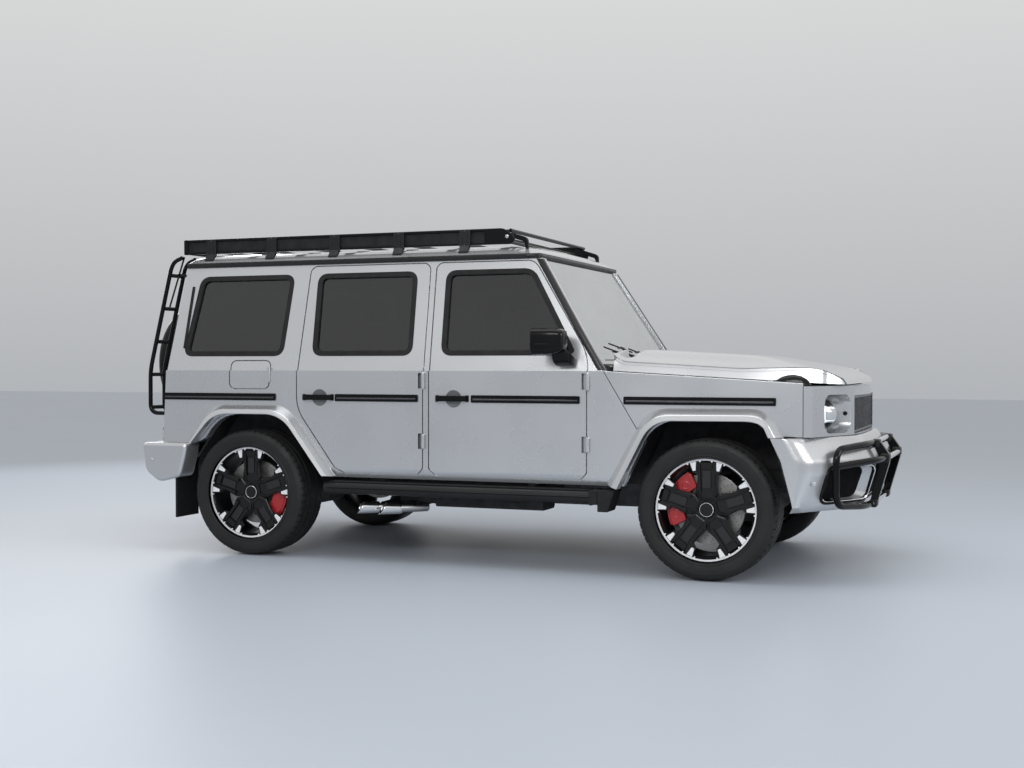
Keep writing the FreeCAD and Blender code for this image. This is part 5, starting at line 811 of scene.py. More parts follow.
def mirrors():
    loops = []
    for x, share, rise in ((0.575, 0.94, 0), (0.57, 0.97, 0), (0.572, 1.0, 0), (0.6, 1.0, 0),
            (0.66, 0.985, 0), (0.7, 0.94, 0.001), (0.73, 0.84, 0.003), (0.748, 0.66, 0.006),
            (0.7545, 0.4, 0.008)):
        edge = rounded(((-1.092, 1.242), (-0.942, 1.242), (-0.942, 1.397), (-1.09, 1.39)), 0.04, 6)
        middle = Vector((-1.012, 1.322))
        loops.append([Vector((x, *middle + (p - middle) * share)) + Vector((0, 0, rise)) for p in edge])
    shell = rows("shell", loops, "gloss", ends=True)
    glass = round_slab("glass", ((-1.083, 1.252), (-0.951, 1.252), (-0.951, 1.388), (-1.081, 1.382)),
        0.034, 5, "x", 0.5702, 0.574, "chrome", 0.001, 1)
    arm = rows("arm", [[(x, y, z) for x, z in shape]
        for y, shape in ((-0.888, ((0.668, 1.176), (0.768, 1.176), (0.776, 1.226), (0.668, 1.222))),
        (-0.93, ((0.664, 1.18), (0.766, 1.182), (0.772, 1.24), (0.664, 1.236))),
        (-0.972, ((0.664, 1.2), (0.758, 1.206), (0.758, 1.262), (0.66, 1.258))),
        (-0.992, ((0.664, 1.226), (0.744, 1.232), (0.742, 1.282), (0.66, 1.28))))], "gloss", ends=True)
    arm = bevelled(arm, 0.007, 3, 40)
    seam = round_slab("seam", oblong(-1.0925, -0.9415, 1.3, 1.304), 0.001, 2, "x", 0.6, 0.68, "seam", 0)
    both_sides(joined("door_mirror_right", [shell, glass, arm, seam]), "front_door_right", "gloss_black",
        "mirror_right")


# Front end


def between(stations, at, beyond):
    """A value read off a broken line of stations, or the one that holds beyond them."""
    for (a, low), (b, high) in zip(stations, stations[1:]):
        if a <= at <= b:
            return low + (high - low) * (at - a) / (b - a)
    return beyond


BUMPER_PLAN = ((0.0, 2.378), (0.45, 2.378), (0.6, 2.312), (0.985, 2.08))


def bumper_tuck(z):
    """How far the front bumper's skin falls back below and above its face."""
    return 0.06 * max(0, 0.6 - z) / 0.21 + 0.07 * max(0, z - 0.668) / 0.124


def bumper_x(y, z):
    """The front bumper's skin ahead of a place."""
    return between(BUMPER_PLAN, abs(y), BUMPER_PLAN[-1][1]) - bumper_tuck(z)


def front_bumper():
    """Bumper skin swept round the corners, with its three openings cut through."""
    levels = (0.391, 0.398, 0.423, 0.47, 0.53, 0.585, 0.6, 0.615, 0.65, 0.668, 0.684, 0.72, 0.76, 0.784,
        0.7915)
    tucks = {0.391: 0.012, 0.398: 0.004, 0.7915: 0.01, 0.784: 0.002}
    arch = ((0.391, 2.035), (0.423, 2.022), (0.629, 1.956), (0.668, 1.956), (0.734, 1.919),
        (0.7915, 1.898))
    sections = []
    for z in levels:
        drop = bumper_tuck(z) + tucks.get(z, 0)
        edge = between(arch, z, arch[-1][1])
        side = -0.985 + 0.036 * max(0, 0.423 - z) / 0.033
        front, face_end, turn, corner = [(x - drop, -y) for y, x in BUMPER_PLAN]
        corner = (corner[0], side)
        foot = (min(edge, corner[0] - 0.012), side)
        sections.append(rounded([front, (face_end, 0.08), (turn, 0.1), (corner, 0.085), foot], 0, 8,
            False))
    loops = []
    count = len(sections[0])
    for k in range(count):
        outer = [(path[k].x, path[k].y, z) for path, z in zip(sections, levels)]
        inner = []
        for path, z in zip(sections, levels):
            way = (path[min(k + 1, count - 1)] - path[max(k - 1, 0)]).normalized()
            inner.append((path[k].x + way.y * 0.02, path[k].y - way.x * 0.02, z))
        loops.append(outer + inner[::-1])
    half = rows("half", loops, "paint", ends=True)
    whole = mirror_pair("front_bumper_skin", [half])
    edit(whole, lambda work: bmesh.ops.remove_doubles(work, verts=work.verts, dist=0.0002))

    def no_middle(work):
        inside = [f for f in work.faces if abs(f.calc_center_median().y) < 0.0004]
        bmesh.ops.delete(work, geom=inside, context="FACES")
        bmesh.ops.recalc_face_normals(work, faces=work.faces)
    edit(whole, no_middle)
    cutters = []
    for name, corners, bend in (("right", oblong(-0.83, -0.44, 0.432, 0.64), 0.06),
            ("left", oblong(0.44, 0.83, 0.432, 0.64), 0.06),
            ("middle", oblong(-0.366, 0.366, 0.428, 0.646), 0.04)):
        cutters.append(round_slab("cut_" + name, corners, bend, 6, "x", 1.95, 2.6, "gloss", 0))
    for cutter in cutters:
        cut = whole.modifiers.new("cut", "BOOLEAN")
        cut.operation = "DIFFERENCE"
        cut.object = cutter
    whole = settle(whole)
    for cutter in cutters:
        bpy.data.objects.remove(cutter)
    placed(whole, "body", "body_paint", "front_bumper", angle=30)


def headlamps():
    x, y, z = 2.152, -0.655, 0.915
    at = (x, y, z)
    bezel = lathe("bezel", [(-0.062, 0.093), (-0.02, 0.093), (-0.009, 0.0915), (-0.004, 0.088),
        (-0.004, 0.084), (-0.014, 0.082)], "x", at, "lamp_glass", 72)
    hem = lathe("hem", [(-0.07, 0.0935), (-0.068, 0.0965), (-0.06, 0.0965), (-0.058, 0.0925)], "x", at,
        "trim", 72, closed=True)
    bowl = lathe("bowl", [(-0.012, 0.082), (-0.022, 0.078), (-0.044, 0.06), (-0.056, 0.03),
        (-0.058, 0.0)], "x", at, "chrome", 72)
    ring = lathe("ring", [(-0.009, 0.081), (-0.006, 0.0795), (-0.006, 0.0745), (-0.009, 0.073),
        (-0.014, 0.074), (-0.014, 0.08)], "x", at, "lamp_ring", 72, closed=True)
    pieces = [bezel, hem, bowl, ring]
    for side in (1, -1):
        edge = [Vector((math.cos(math.radians(a)) * 0.072, math.sin(math.radians(a)) * 0.072))
            for a in range(28, 153, 6)]
        cap = slab("cap", [Vector((y + p.x, z + side * p.y)) for p in edge], "x", x - 0.03, x - 0.014,
            "gloss", 0.002)
        bar_line = brick("line", (x - 0.015, x - 0.011), (y - 0.064, y + 0.064),
            (z + side * 0.033 - 0.002, z + side * 0.033 + 0.002), "lamp_ring", 0.001, 1)
        pieces += [cap, bar_line]
    for k in (-1, 1):
        pieces.append(lathe("eye", [(-0.045, 0.025), (-0.024, 0.024), (-0.02, 0.021), (-0.022, 0.018),
            (-0.016, 0.01), (-0.013, 0.0)], "x", (x, y + k * 0.032, z), "chrome", 32))
    lens = lathe("lens", [(-0.008 + 0.058 * math.cos(math.pi * r / 0.176), r)
        for r in [0.0875 - 0.0046 * k for k in range(20)]], "x", at, "lamp_glass", 96)
    painted_by(lens, ("lamp_glass", "gloss", "lamp_ring"),
        lambda f: 1 if abs(f.center.z - z) > 0.045 else 2 if 0.031 < abs(f.center.z - z) < 0.038
        or 0.079 < math.hypot(f.center.y - y, f.center.z - z) else 0)
    mouth = rounded(oblong(-0.772, -0.498, 0.808, 1.024), 0.05, 6)
    back = slab("lamp_back", mouth, "x", 2.07, 2.093, "paint", 0.002)
    bucket = rows("bucket", [[Vector((2.069 + (p.x + 0.77) * 0.4704 + 0.006, p.x, p.y)) for p in mouth],
        [Vector((2.086, p.x, p.y)) for p in mouth]], "paint")
    collar = lathe("collar", [(-0.06, 0.112), (-0.04, 0.106), (-0.014, 0.1), (-0.008, 0.097),
        (-0.01, 0.0935), (-0.05, 0.0935)], "x", at, "paint", 72)
    eye = lathe("sensor", [(-0.497, 0.012), (-0.5065, 0.012), (-0.508, 0.009), (-0.507, 0.0)], "y",
        (2.228, 0, 0.915), "gloss", 24)
    lamps = mirror_pair("headlamps", pieces + [back, bucket, collar, eye])
    units = joined("headlamp_units", [lamps, mirror_pair("indicators", [indicator()])])
    placed(units, "body", "lamp", "front_lamps")
    placed(mirror_pair("headlamp_lenses", [lens]), "body", "lamp")


def indicator():
    """Domed turn lamp on a black foot on top of the fender."""
    loops = []
    for x, half, top in ((1.892, 0.006, 1.092), (1.905, 0.02, 1.104), (1.93, 0.028, 1.12),
            (1.965, 0.032, 1.13), (2.0, 0.033, 1.1315), (2.035, 0.03, 1.124), (2.062, 0.022, 1.11),
            (2.08, 0.008, 1.096)):
        base = 1.0985 - (x - 1.892) * 0.115
        ring = []
        for k in range(9):
            a = math.pi * k / 8
            ring.append((x, -0.815 + math.cos(a) * half,
                base + math.sin(a) ** 0.8 * max(0.003, top - base)))
        loops.append(ring)
    dome = rows("dome", loops, "smoked", ends=True)
    foot = round_slab("foot", ((1.884, -0.85), (2.09, -0.846), (2.09, -0.784), (1.884, -0.78)), 0.026, 5,
        "z", 0.0, 0.012, "gloss", 0.003)
    for vertex in foot.data.vertices:
        vertex.co.z += 1.0905 - (vertex.co.x - 1.884) * 0.115
    return joined("indicator_right", [dome, foot])


def grille():
    pieces = [brick("back", (2.236, 2.244), (-0.446, 0.446), (0.802, 1.012), "mesh", 0.002)]
    count = 15
    for i in range(count):
        y = -0.405 + 0.81 * i / (count - 1)
        pieces.append(round_slab("bar", ((2.242, y - 0.007), (2.266, y - 0.005), (2.2695, y),
            (2.266, y + 0.005), (2.242, y + 0.007)), 0.002, 2, "z", 0.815, 1.0, "dark_chrome", 0.002))
    edge = rounded(oblong(-0.446, 0.446, 0.802, 1.012), 0.02, 4)
    loops = []
    for by, x in ((0.0, 2.24), (0.0, 2.266), (-0.004, 2.2695), (-0.014, 2.2695), (-0.018, 2.264),
            (-0.018, 2.244)):
        loops.append([(x, p.x, p.y) for p in grown(edge, by)])
    pieces.append(rows("frame", loops, "gloss"))
    placed(joined("grille_bars", pieces), "body", "gloss_black", "grille")


def bumper_details():
    pieces = []
    side = oblong(-0.826, -0.444, 0.436, 0.636)
    edge = rounded(side, 0.06, 6)
    path = []
    for k in range(len(edge)):
        a, b = edge[k], edge[(k + 1) % len(edge)]
        steps = max(1, int((b - a).length / 0.03))
        path += [a + (b - a) * t / steps for t in range(steps)]
    rim = [(bumper_x(p.x, p.y) + 0.0005, p.x, p.y) for p in path]
    pieces.append(pipe("intake_rim", rim, 0.01, "gloss", 0.0, 10, loop=True, steps=1))
    line = [(bumper_x(y, z) + 0.007, -0.635 + (y + 0.635) * 0.975, 0.536 + (z - 0.536) * 0.955)
        for x, y, z in rim]
    pieces.append(pipe("intake_line", line, 0.0042, "chrome", 0.0, 8, loop=True, steps=1))
    outer = [(bumper_x(p.x, p.y) - 0.004, p.x, p.y) for p in path]
    inner = [(bumper_x(p.x, p.y) - 0.06, -0.64 + (p.x + 0.64) * 0.9, 0.538 + (p.y - 0.538) * 0.86)
        for p in path]
    duct = rows("duct", [outer, inner], "paint")
    painted_by(duct, ("paint", "gloss"), lambda f: 0 if f.center.y > -0.5
        or (f.center.z < 0.46 and f.center.y > -0.66) else 1)
    pieces.append(duct)
    pieces.append(mesh_piece("duct_back", inner, [tuple(range(len(inner)))], "mesh"))
    sensor = lathe("sensor", [(-0.012, 0.011), (0.001, 0.011), (0.002, 0.008), (0.001, 0.0)], "x",
        (0, 0, 0), "paint", 24)
    turned(sensor, -54, "Z")
    moved(sensor, bumper_x(-0.92, 0.6), -0.92, 0.548)
    pieces.append(sensor)
    middle = round_slab("middle_mesh", oblong(-0.362, 0.362, 0.432, 0.642), 0.04, 5, "x", 2.3, 2.312,
        "mesh", 0.002)
    placed(joined("bumper_intakes", [mirror_pair("side_intakes", pieces), middle]), "body", "body_paint")


def brush_guard():
    r = 0.019
    loop = pipe("loop", [(2.376, -0.3, 0.745), (2.346, -0.52, 0.745), (2.222, -0.8135, 0.728),
        (2.222, -0.8135, 0.425), (2.332, -0.52, 0.402), (2.362, -0.3, 0.402)], r, "gloss", 0.075, 18,
        steps=7)
    rail = pipe("rail", [(2.436, -0.3, 0.66), (2.406, -0.52, 0.66), (2.224, -0.8135, 0.638)], r, "gloss",
        0.06, 18, steps=7)
    post = round_slab("post", ((2.343, 0.383), (2.381, 0.383), (2.455, 0.641), (2.455, 0.679),
        (2.395, 0.764), (2.357, 0.764), (2.398, 0.66)), 0.022, 4, "y", -0.358, -0.302, "gloss", 0.005, 3)
    pads = [round_slab("pad", shape, 0.012, 4, "y", -0.372, -0.288, "coated", 0.006, 3)
        for shape in (((2.352, 0.72), (2.398, 0.716), (2.404, 0.764), (2.358, 0.766)),
        ((2.404, 0.632), (2.455, 0.634), (2.455, 0.686), (2.404, 0.688)),
        ((2.34, 0.381), (2.386, 0.381), (2.392, 0.426), (2.346, 0.428)))]
    foot = brick("foot", (2.38, 2.44), (-0.349, -0.311), (0.642, 0.666), "gloss", 0.004)
    bolts = [lathe("bolt", [(-0.378, 0.0), (-0.3775, 0.007), (-0.372, 0.009), (-0.37, 0.009)], "y",
        (x, 0, z), "steel", 6) for x, z in ((2.378, 0.742), (2.43, 0.66), (2.366, 0.404))]
    sides = mirror_pair("guard_sides", [loop, rail, post, foot, *pads, *bolts])
    bars = [pipe("bar", [(x, -0.3, z), (x, 0.3, z)], r * 0.96, "chrome", 0.0, 18)
        for x, z in ((2.376, 0.745), (2.436, 0.66), (2.362, 0.402))]
    placed(joined("guard_tubes", [sides, *bars]), "body", "gloss_black", "brush_guard")


# Wheels


def tyre():
    """Tyre with a bulged side, a rim guard and a cut tread, about the wheel's centre."""
    half = [(0.1395, 0.284), (0.1345, 0.288), (0.134, 0.292), (0.1372, 0.2955), (0.1378, 0.301),
        (0.1352, 0.3045), (0.1368, 0.312), (0.1388, 0.325), (0.1394, 0.338), (0.1385, 0.35),
        (0.1392, 0.3515), (0.1375, 0.3545), (0.135, 0.365), (0.13, 0.3745), (0.1215, 0.3825),
        (0.109, 0.3868), (0.093, 0.388), (0.092, 0.38), (0.082, 0.38), (0.081, 0.3888), (0.048, 0.3898),
        (0.047, 0.3815), (0.037, 0.3815), (0.036, 0.39), (0.001, 0.3904)]
    profile = half + [(-a, r) for a, r in reversed(half)]
    sides = 56
    step = 360 / sides
    loops = []
    for i in range(sides):
        for share, sunk in ((0.0, 0), (0.82, 0), (0.85, 1), (0.97, 1)):
            turn = math.radians((i + share) * step)
            c, s = math.cos(turn), math.sin(turn)
            ring = [r - 0.005 if sunk and 0.0815 < abs(a) < 0.123 else r for a, r in profile]
            loops.append([(q * c, a, q * s) for (a, r), q in zip(profile, ring)])
    return rows("tyre", loops, "tyre", closed=False, wrap=True)


def fan(name, inner, outer, start, end, near, far, mat, width, steps):
    """A slab between two radii over an angle, about Y."""
    edge = []
    for radius, order in ((outer, range(steps + 1)), (inner, range(steps, -1, -1))):
        for k in order:
            a = math.radians(start + (end - start) * k / steps)
            edge.append((math.cos(a) * radius, math.sin(a) * radius))
    return slab(name, edge, "y", near, far, mat, width, 2)


def wheel():
    """Right wheel about its centre, with the outer face at -Y."""
    face = -0.118
    rim = lathe("rim", [(face + 0.004, 0.2829), (face, 0.2818), (face, 0.2725), (face + 0.003, 0.2715),
        (face + 0.01, 0.268), (face + 0.022, 0.26), (face + 0.05, 0.256), (0.06, 0.25), (0.112, 0.262),
        (0.118, 0.28), (0.114, 0.2829), (0.1, 0.276), (0.08, 0.262), (-0.07, 0.262), (-0.1, 0.276)], "y",
        (0, 0, 0), "rim_black", 96, closed=True)
    painted_by(rim, ("rim_black", "machined"), lambda f: 1 if f.center.y < face + 0.0025
        and math.hypot(f.center.x, f.center.z) > 0.2715 else 0)
    pieces = [rim]
    for i in range(5):
        turn = 90 + 72 * i
        parts = []
        body = rounded(both_halves([(0.05, 0.034), (0.092, 0.064), (0.132, 0.057), (0.16, 0.052),
            (0.264, 0.0515)]), 0.006, 3)
        loops = []
        for by, y in ((-0.004, -0.07), (0.0, -0.075), (0.0, -0.0915), (-0.004, -0.0965),
                (-0.012, -0.0985), (-0.014, -0.0925), (-0.0145, -0.091)):
            loops.append([(p.x, y, p.y) for p in grown(body, by)])
        parts.append(rows("spoke", loops, "rim_black", ends=True))
        parts.append(round_slab("panel", both_halves([(0.12, 0.023), (0.214, 0.0225)]), 0.004, 3, "y",
            -0.0975, -0.088, "rim_panel", 0.0015))
        parts.append(round_slab("tip", both_halves([(0.226, 0.03), (0.258, 0.032)]), 0.005, 3, "y",
            -0.103, -0.088, "rim_black", 0.003))
        for side in (1, -1):
            parts.append(round_slab("ridge", ((0.104, side * 0.03), (0.256, side * 0.036),
                (0.256, side * 0.047), (0.14, side * 0.047), (0.104, side * 0.054)), 0.004, 3, "y",
                -0.104, -0.088, "rim_black", 0.003))
        for side in (1, -1):
            accent = [(x, side * z) for x, z in ((0.215, 0.058), (0.2645, 0.0565), (0.256, 0.09),
                (0.212, 0.0735))]
            parts.append(round_slab("accent", accent, 0.002, 2, "y", -0.112, -0.098, "machined", 0.001,
                1))
            rest = [(x, side * z) for x, z in ((0.19, 0.046), (0.268, 0.046), (0.264, 0.062),
                (0.2545, 0.095), (0.206, 0.079))]
            parts.append(round_slab("rest", rest, 0.003, 2, "y", -0.1085, -0.082, "rim_black", 0.002))
            for offset in (0.034, 0.106):
                a = offset / 0.2715
                tooth = [(0.274 * math.cos(a + t), side * 0.274 * math.sin(a + t))
                    for t in (-0.022, 0.022)]
                tooth += [(0.264 * math.cos(a + t), side * 0.264 * math.sin(a + t))
                    for t in (0.008, -0.008)]
                parts.append(slab("tooth", tooth, "y", -0.1175, -0.106, "machined", 0, 1))
        spoke_set = joined("spoke_set", parts)
        pieces.append(turned(spoke_set, -turn, "Y"))
        lug = lathe("lug", [(-0.088, 0.014), (-0.0945, 0.014), (-0.0945, 0.0105), (-0.084, 0.01),
            (-0.084, 0.0)], "y", (0, 0, 0), "rim_black", 12)
        moved(lug, 0.058)
        pieces.append(turned(lug, -(turn + 36), "Y"))
    hub = lathe("hub", [(-0.055, 0.096), (-0.07, 0.094), (-0.085, 0.088), (-0.0905, 0.08),
        (-0.0905, 0.075), (-0.0905, 0.046), (-0.094, 0.042), (-0.0985, 0.0405), (-0.0995, 0.036),
        (-0.0975, 0.033), (-0.0985, 0.02), (-0.099, 0.0)], "y", (0, 0, 0), "rim_black", 64)
    ring = lathe("cap_ring", [(-0.099, 0.0395), (-0.1, 0.0385), (-0.1, 0.0365), (-0.0988, 0.0355)], "y",
        (0, 0, 0), "chrome", 64)
    disc = lathe("disc", [(-0.01, 0.11), (-0.01, 0.195), (-0.012, 0.198), (-0.017, 0.198), (-0.018, 0.19),
        (-0.024, 0.19), (-0.025, 0.198), (-0.03, 0.198), (-0.032, 0.195), (-0.032, 0.118), (-0.04, 0.112),
        (-0.042, 0.06)], "y", (0, 0, 0), "disc", 72)
    holes = []
    for i in range(24):
        for k, r in enumerate((0.132, 0.15, 0.168, 0.184)):
            hole = lathe("hole", [(-0.0322, 0.003), (-0.0324, 0.0)], "y", (0, 0, 0), "seam", 6)
            moved(hole, r)
            holes.append(turned(hole, 15 * i + 4 * k, "Y"))
    return joined("wheel", [*pieces, hub, ring, disc, *holes])


def wheels():
    rim, rubber = wheel(), tyre()
    for end, x in (("front", FRONT_AXLE), ("rear", REAR_AXLE)):
        for master, kind, slot in ((rim, "wheel", "alloy"), (rubber, "tyre", "tyre_rubber")):
            right = copied(master, f"{kind}_model_{end}_right", x, -HALF_TRACK, AXLE_HEIGHT)
            both_sides(right, f"{end}_wheel_right", slot, f"{kind}_{end}_right")
    bpy.data.objects.remove(rim)
    bpy.data.objects.remove(rubber)


def caliper(middle):
    """Red fixed caliper over the disc, with three pistons' caps and a bridge."""
    parts = [fan("cheek", 0.134, 0.222, middle - 46, middle + 46, -0.066, -0.042, "red", 0.009, 20),
        fan("bridge", 0.204, 0.232, middle - 43, middle + 43, -0.06, 0.012, "red", 0.006, 20),
        fan("inner", 0.134, 0.222, middle - 44, middle + 44, -0.002, 0.016, "red", 0.007, 20)]
    for turn in (-28, 0, 28):
        a = math.radians(middle + turn)
        parts.append(lathe("piston", [(-0.06, 0.026), (-0.0665, 0.024), (-0.0675, 0.02), (-0.066, 0.017),
            (-0.0665, 0.0)], "y", (math.cos(a) * 0.176, 0, math.sin(a) * 0.176), "red", 32))
    parts.append(fan("pads", 0.14, 0.2, middle - 12, middle + 12, -0.044, 0.004, "iron", 0.002, 8))
    return joined("caliper", parts)


def brakes():
    front = moved(caliper(162), FRONT_AXLE, -HALF_TRACK, AXLE_HEIGHT)
    front.name = "caliper_front_right"
    red = lambda p: 1 if abs(p.y) > 0.768 and p.x < FRONT_AXLE - 0.08 else 0
    for piece, side in ((front, "right"), (other_side(front, "caliper_front_left"), "left")):
        placed(piece, f"steer_{side}", "cast")
        dressed(f"knuckle_{side}", "iron", 0.004, 2, red, ("red",))
    rear = moved(caliper(-8), REAR_AXLE, -HALF_TRACK, AXLE_HEIGHT)
    placed(mirror_pair("calipers_rear", [rear]), "body", "cast")
    red = lambda p: 1 if abs(p.y) > 0.768 and p.x > REAR_AXLE + 0.1 else 0
    dressed("rear_axle", "iron", 0.005, 2, red, ("red",))


# Roof, rear and sides


def roof():
    """Crowned roof whose edge falls to a black gutter at the sides and the front."""
    half = [(0.76, 1.811), (0.7775, 1.8115), (0.7775, 1.834), (0.77, 1.8395), (0.756, 1.846),
        (0.735, 1.862), (0.7, 1.882), (0.62, 1.898), (0.45, 1.91), (0.25, 1.917), (0.0, 1.9195)]
    section = [(-y, z) for y, z in half] + [(y, z) for y, z in reversed(half[:-1])]
    loops = []
    for x, lift in ((-1.916, 0.1), (-1.914, 0.45), (-1.9, 0.72), (-1.87, 0.9), (-1.8, 1.0), (-0.8, 1.0),
            (0.1, 1.0), (0.25, 0.97), (0.36, 0.86), (0.43, 0.68), (0.475, 0.46), (0.5, 0.24),
            (0.509, 0.1), (0.5115, 0.0)):
        loops.append([(x, y, z if z < 1.84 else 1.8395 + (z - 1.8395) * lift) for y, z in section])
    whole = rows("roof_skin", loops, "paint", ends=True)
    painted_by(whole, ("paint", "gutter"), lambda f: 1 if f.center.z < 1.8385
        and (abs(f.center.y) > 0.764 or f.center.x > 0.505) else 0)
    placed(whole, "body", "body_paint", "roof_panel", angle=30)
    lip = pipe("lip", [(0.43, -0.774, 1.826), (0.5065, -0.764, 1.823), (0.5085, -0.6, 1.824),
        (0.5085, 0.6, 1.824), (0.5065, 0.764, 1.823), (0.43, 0.774, 1.826)], 0.012, "gutter", 0.03, 12)
    placed(lip, "body", "black_trim")


def roof_rack():
    panel = round_slab("panel", oblong(-1.975, 0.3, 1.91, 1.99), 0.01, 3, "y", -0.704, -0.698, "seam",
        0.002, 2)
    rails = [round_slab("rail", ((-0.7118, low), (-0.7118, high), (-0.686, high), (-0.686, low)), 0.007,
        3, "x", -1.985, front, "gloss", 0.003) for low, high, front in ((1.981, 1.9995, 0.235),
        (1.903, 1.92, 0.3))]
    nose = round_slab("nose", ((0.14, 1.903), (0.318, 1.903), (0.331, 1.925), (0.331, 1.95),
        (0.262, 1.9985), (0.14, 1.9985)), 0.022, 5, "y", -0.7165, -0.697, "gloss", 0.004, 3)
    tail = round_slab("tail", oblong(-1.986, -1.955, 1.903, 1.9995), 0.008, 3, "y", -0.7118, -0.686,
        "gloss", 0.003)
    hole = lathe("hole", [(-0.7168, 0.0), (-0.717, 0.0105), (-0.716, 0.012)], "y", (0.285, 0, 1.948),
        "steel", 20)
    pieces = [panel, *rails, nose, tail, hole]
    for x in (-1.771, -1.322, -0.869, -0.425, 0.015):
        plate = round_slab("bracket", oblong(x - 0.036, x + 0.036, 1.888, 1.996), 0.008, 3, "y", -0.7225,
            -0.709, "coated", 0.003, 2)
        foot = round_slab("foot", ((-0.7225, 1.902), (-0.748, 1.866), (-0.75, 1.856), (-0.742, 1.856),
            (-0.708, 1.884), (-0.708, 1.902)), 0.004, 3, "x", x - 0.03, x + 0.03, "coated", 0.002)
        pieces += [plate, foot]
        for dx in (-0.015, 0.015):
            slot = rounded(oblong(x + dx - 0.008, x + dx + 0.008, 1.912, 1.98), 0.0075, 4)
            pieces.append(slab("slot", slot, "y", -0.7229, -0.7215, "seam", 0))
        for z in (1.899, 1.988):
            pieces.append(lathe("bolt", [(-0.725, 0.0), (-0.7247, 0.0045), (-0.722, 0.0058)], "y",
                (x, 0, z), "dark_chrome", 6))
    arm = round_slab("arm", ((0.3, 1.974), (0.395, 1.944), (0.412, 1.93), (0.414, 1.872), (0.396, 1.872),
        (0.386, 1.916), (0.3, 1.944)), 0.012, 4, "y", -0.7, -0.68, "gloss", 0.004, 3)
    pieces.append(arm)
    sides = mirror_pair("rack_sides", pieces)
    across = []
    for i in range(7):
        x = -1.886 + 0.35283 * i
        across.append(round_slab("slat", ((x - 0.032, 1.934), (x + 0.032, 1.934), (x + 0.028, 1.9495),
            (x - 0.028, 1.9495)), 0.005, 3, "y", -0.698, 0.698, "coated", 0.002))
    for x in (-1.972, 0.3):
        across.append(pipe("end", [(x, -0.7, 1.985), (x, 0.7, 1.985)], 0.012, "gloss", 0, 14))
        across.append(pipe("end", [(x, -0.7, 1.915), (x, 0.7, 1.915)], 0.01, "gloss", 0, 14))
    placed(joined("roof_basket", [sides, *across]), "body", "gloss_black", "roof_rack")


def ladder():
    pieces = []
    outer, inner, foot = -0.743, -0.592, -2.229
    for y in (outer, inner):
        pieces.append(pipe("rail", [(-1.975, y, 1.884), (-2.055, y, 1.852), (foot, y, BELT),
            (foot, y, 0.868), (-2.07, y, 0.868)], 0.0138, "gloss", 0.06, 16, steps=6))
    for k in range(5):
        z = 0.905 + k * 0.21625
        x = foot + max(0.0, z - BELT) * 0.174 / 0.702
        pieces.append(pipe("rung", [(x, outer, z), (x, inner, z)], 0.0108, "gloss", 0, 14))
        pieces.append(pipe("tread", [(x, outer + 0.025, z), (x, inner - 0.025, z)], 0.0124, "rubber", 0,
            14))
        for y in (outer + 0.015, inner - 0.015):
            pieces.append(lathe("collar", [(y - 0.004, 0.0118), (y - 0.003, 0.0135), (y + 0.003, 0.0135),
                (y + 0.004, 0.0118)], "y", (x, 0, z), "gloss", 14))
    dressed("ladder", "coated", 0.002, angle=60, drop=lambda p: not (p.x > -2.075 and p.z < 0.93
        or p.x > -2.02 or (1.6 < p.z < 1.72 and p.x > -2.09)))
    placed(joined("ladder_tubes", pieces), "tail_door", "gloss_black")


def spare():
    at = (0, 0, 1.2)
    shell = lathe("shell", [(-2.176, 0.0), (-2.176, 0.3), (-2.182, 0.366), (-2.196, 0.385),
        (-2.22, 0.3905), (-2.3, 0.3915), (-2.39, 0.3905), (-2.414, 0.384), (-2.43, 0.37), (-2.436, 0.35),
        (-2.439, 0.335), (-2.447, 0.318), (-2.452, 0.29), (-2.4535, 0.2), (-2.4545, 0.0)], "x", at,
        "gloss", 96)
    ring = lathe("ring", [(-2.4385, 0.3465), (-2.445, 0.3445), (-2.4455, 0.338), (-2.443, 0.333),
        (-2.437, 0.333)], "x", at, "chrome", 96, closed=True)
    band = lathe("band", [(-2.296, 0.3905), (-2.297, 0.39195), (-2.312, 0.39195), (-2.313, 0.3905)], "x",
        at, "chrome", 96, closed=True)
    placed(joined("spare_cover", [shell, ring, band]), "tail_door", "gloss_black", "spare_wheel")


def rear_details():
    plate = round_slab("plate", oblong(-0.262, 0.262, 0.765, 0.795), 0.006, 3, "x", -2.062, -2.046,
        "gloss", 0.002)
    placed(plate, "tail_door", "gloss_black")
    lamps = []
    for low, high, mat in ((0.692, 0.722, "red_lens"), (0.724, 0.754, "lamp_glass"),
            (0.756, 0.786, "red_lens")):
        lamps.append(round_slab("cell", ((-2.016, -0.884), (-2.034, -0.876), (-2.06, -0.848),
            (-2.082, -0.806), (-2.091, -0.75), (-2.091, -0.7), (-2.016, -0.694)), 0.01, 4, "z", low, high,
            mat, 0.004, 3))
    steps = []
    for k in range(-6, 7):
        y = 0.06 * k
        steps.append(brick("grip", (-2.112, -2.04), (y - 0.012, y + 0.012), (0.6885, 0.6905), "rubber",
            0.0006, 1))
    placed(joined("bumper_step", steps), "body", "rubber")
    placed(mirror_pair("lamp_cells", lamps), "body", "red_lamp", "tail_lamps")


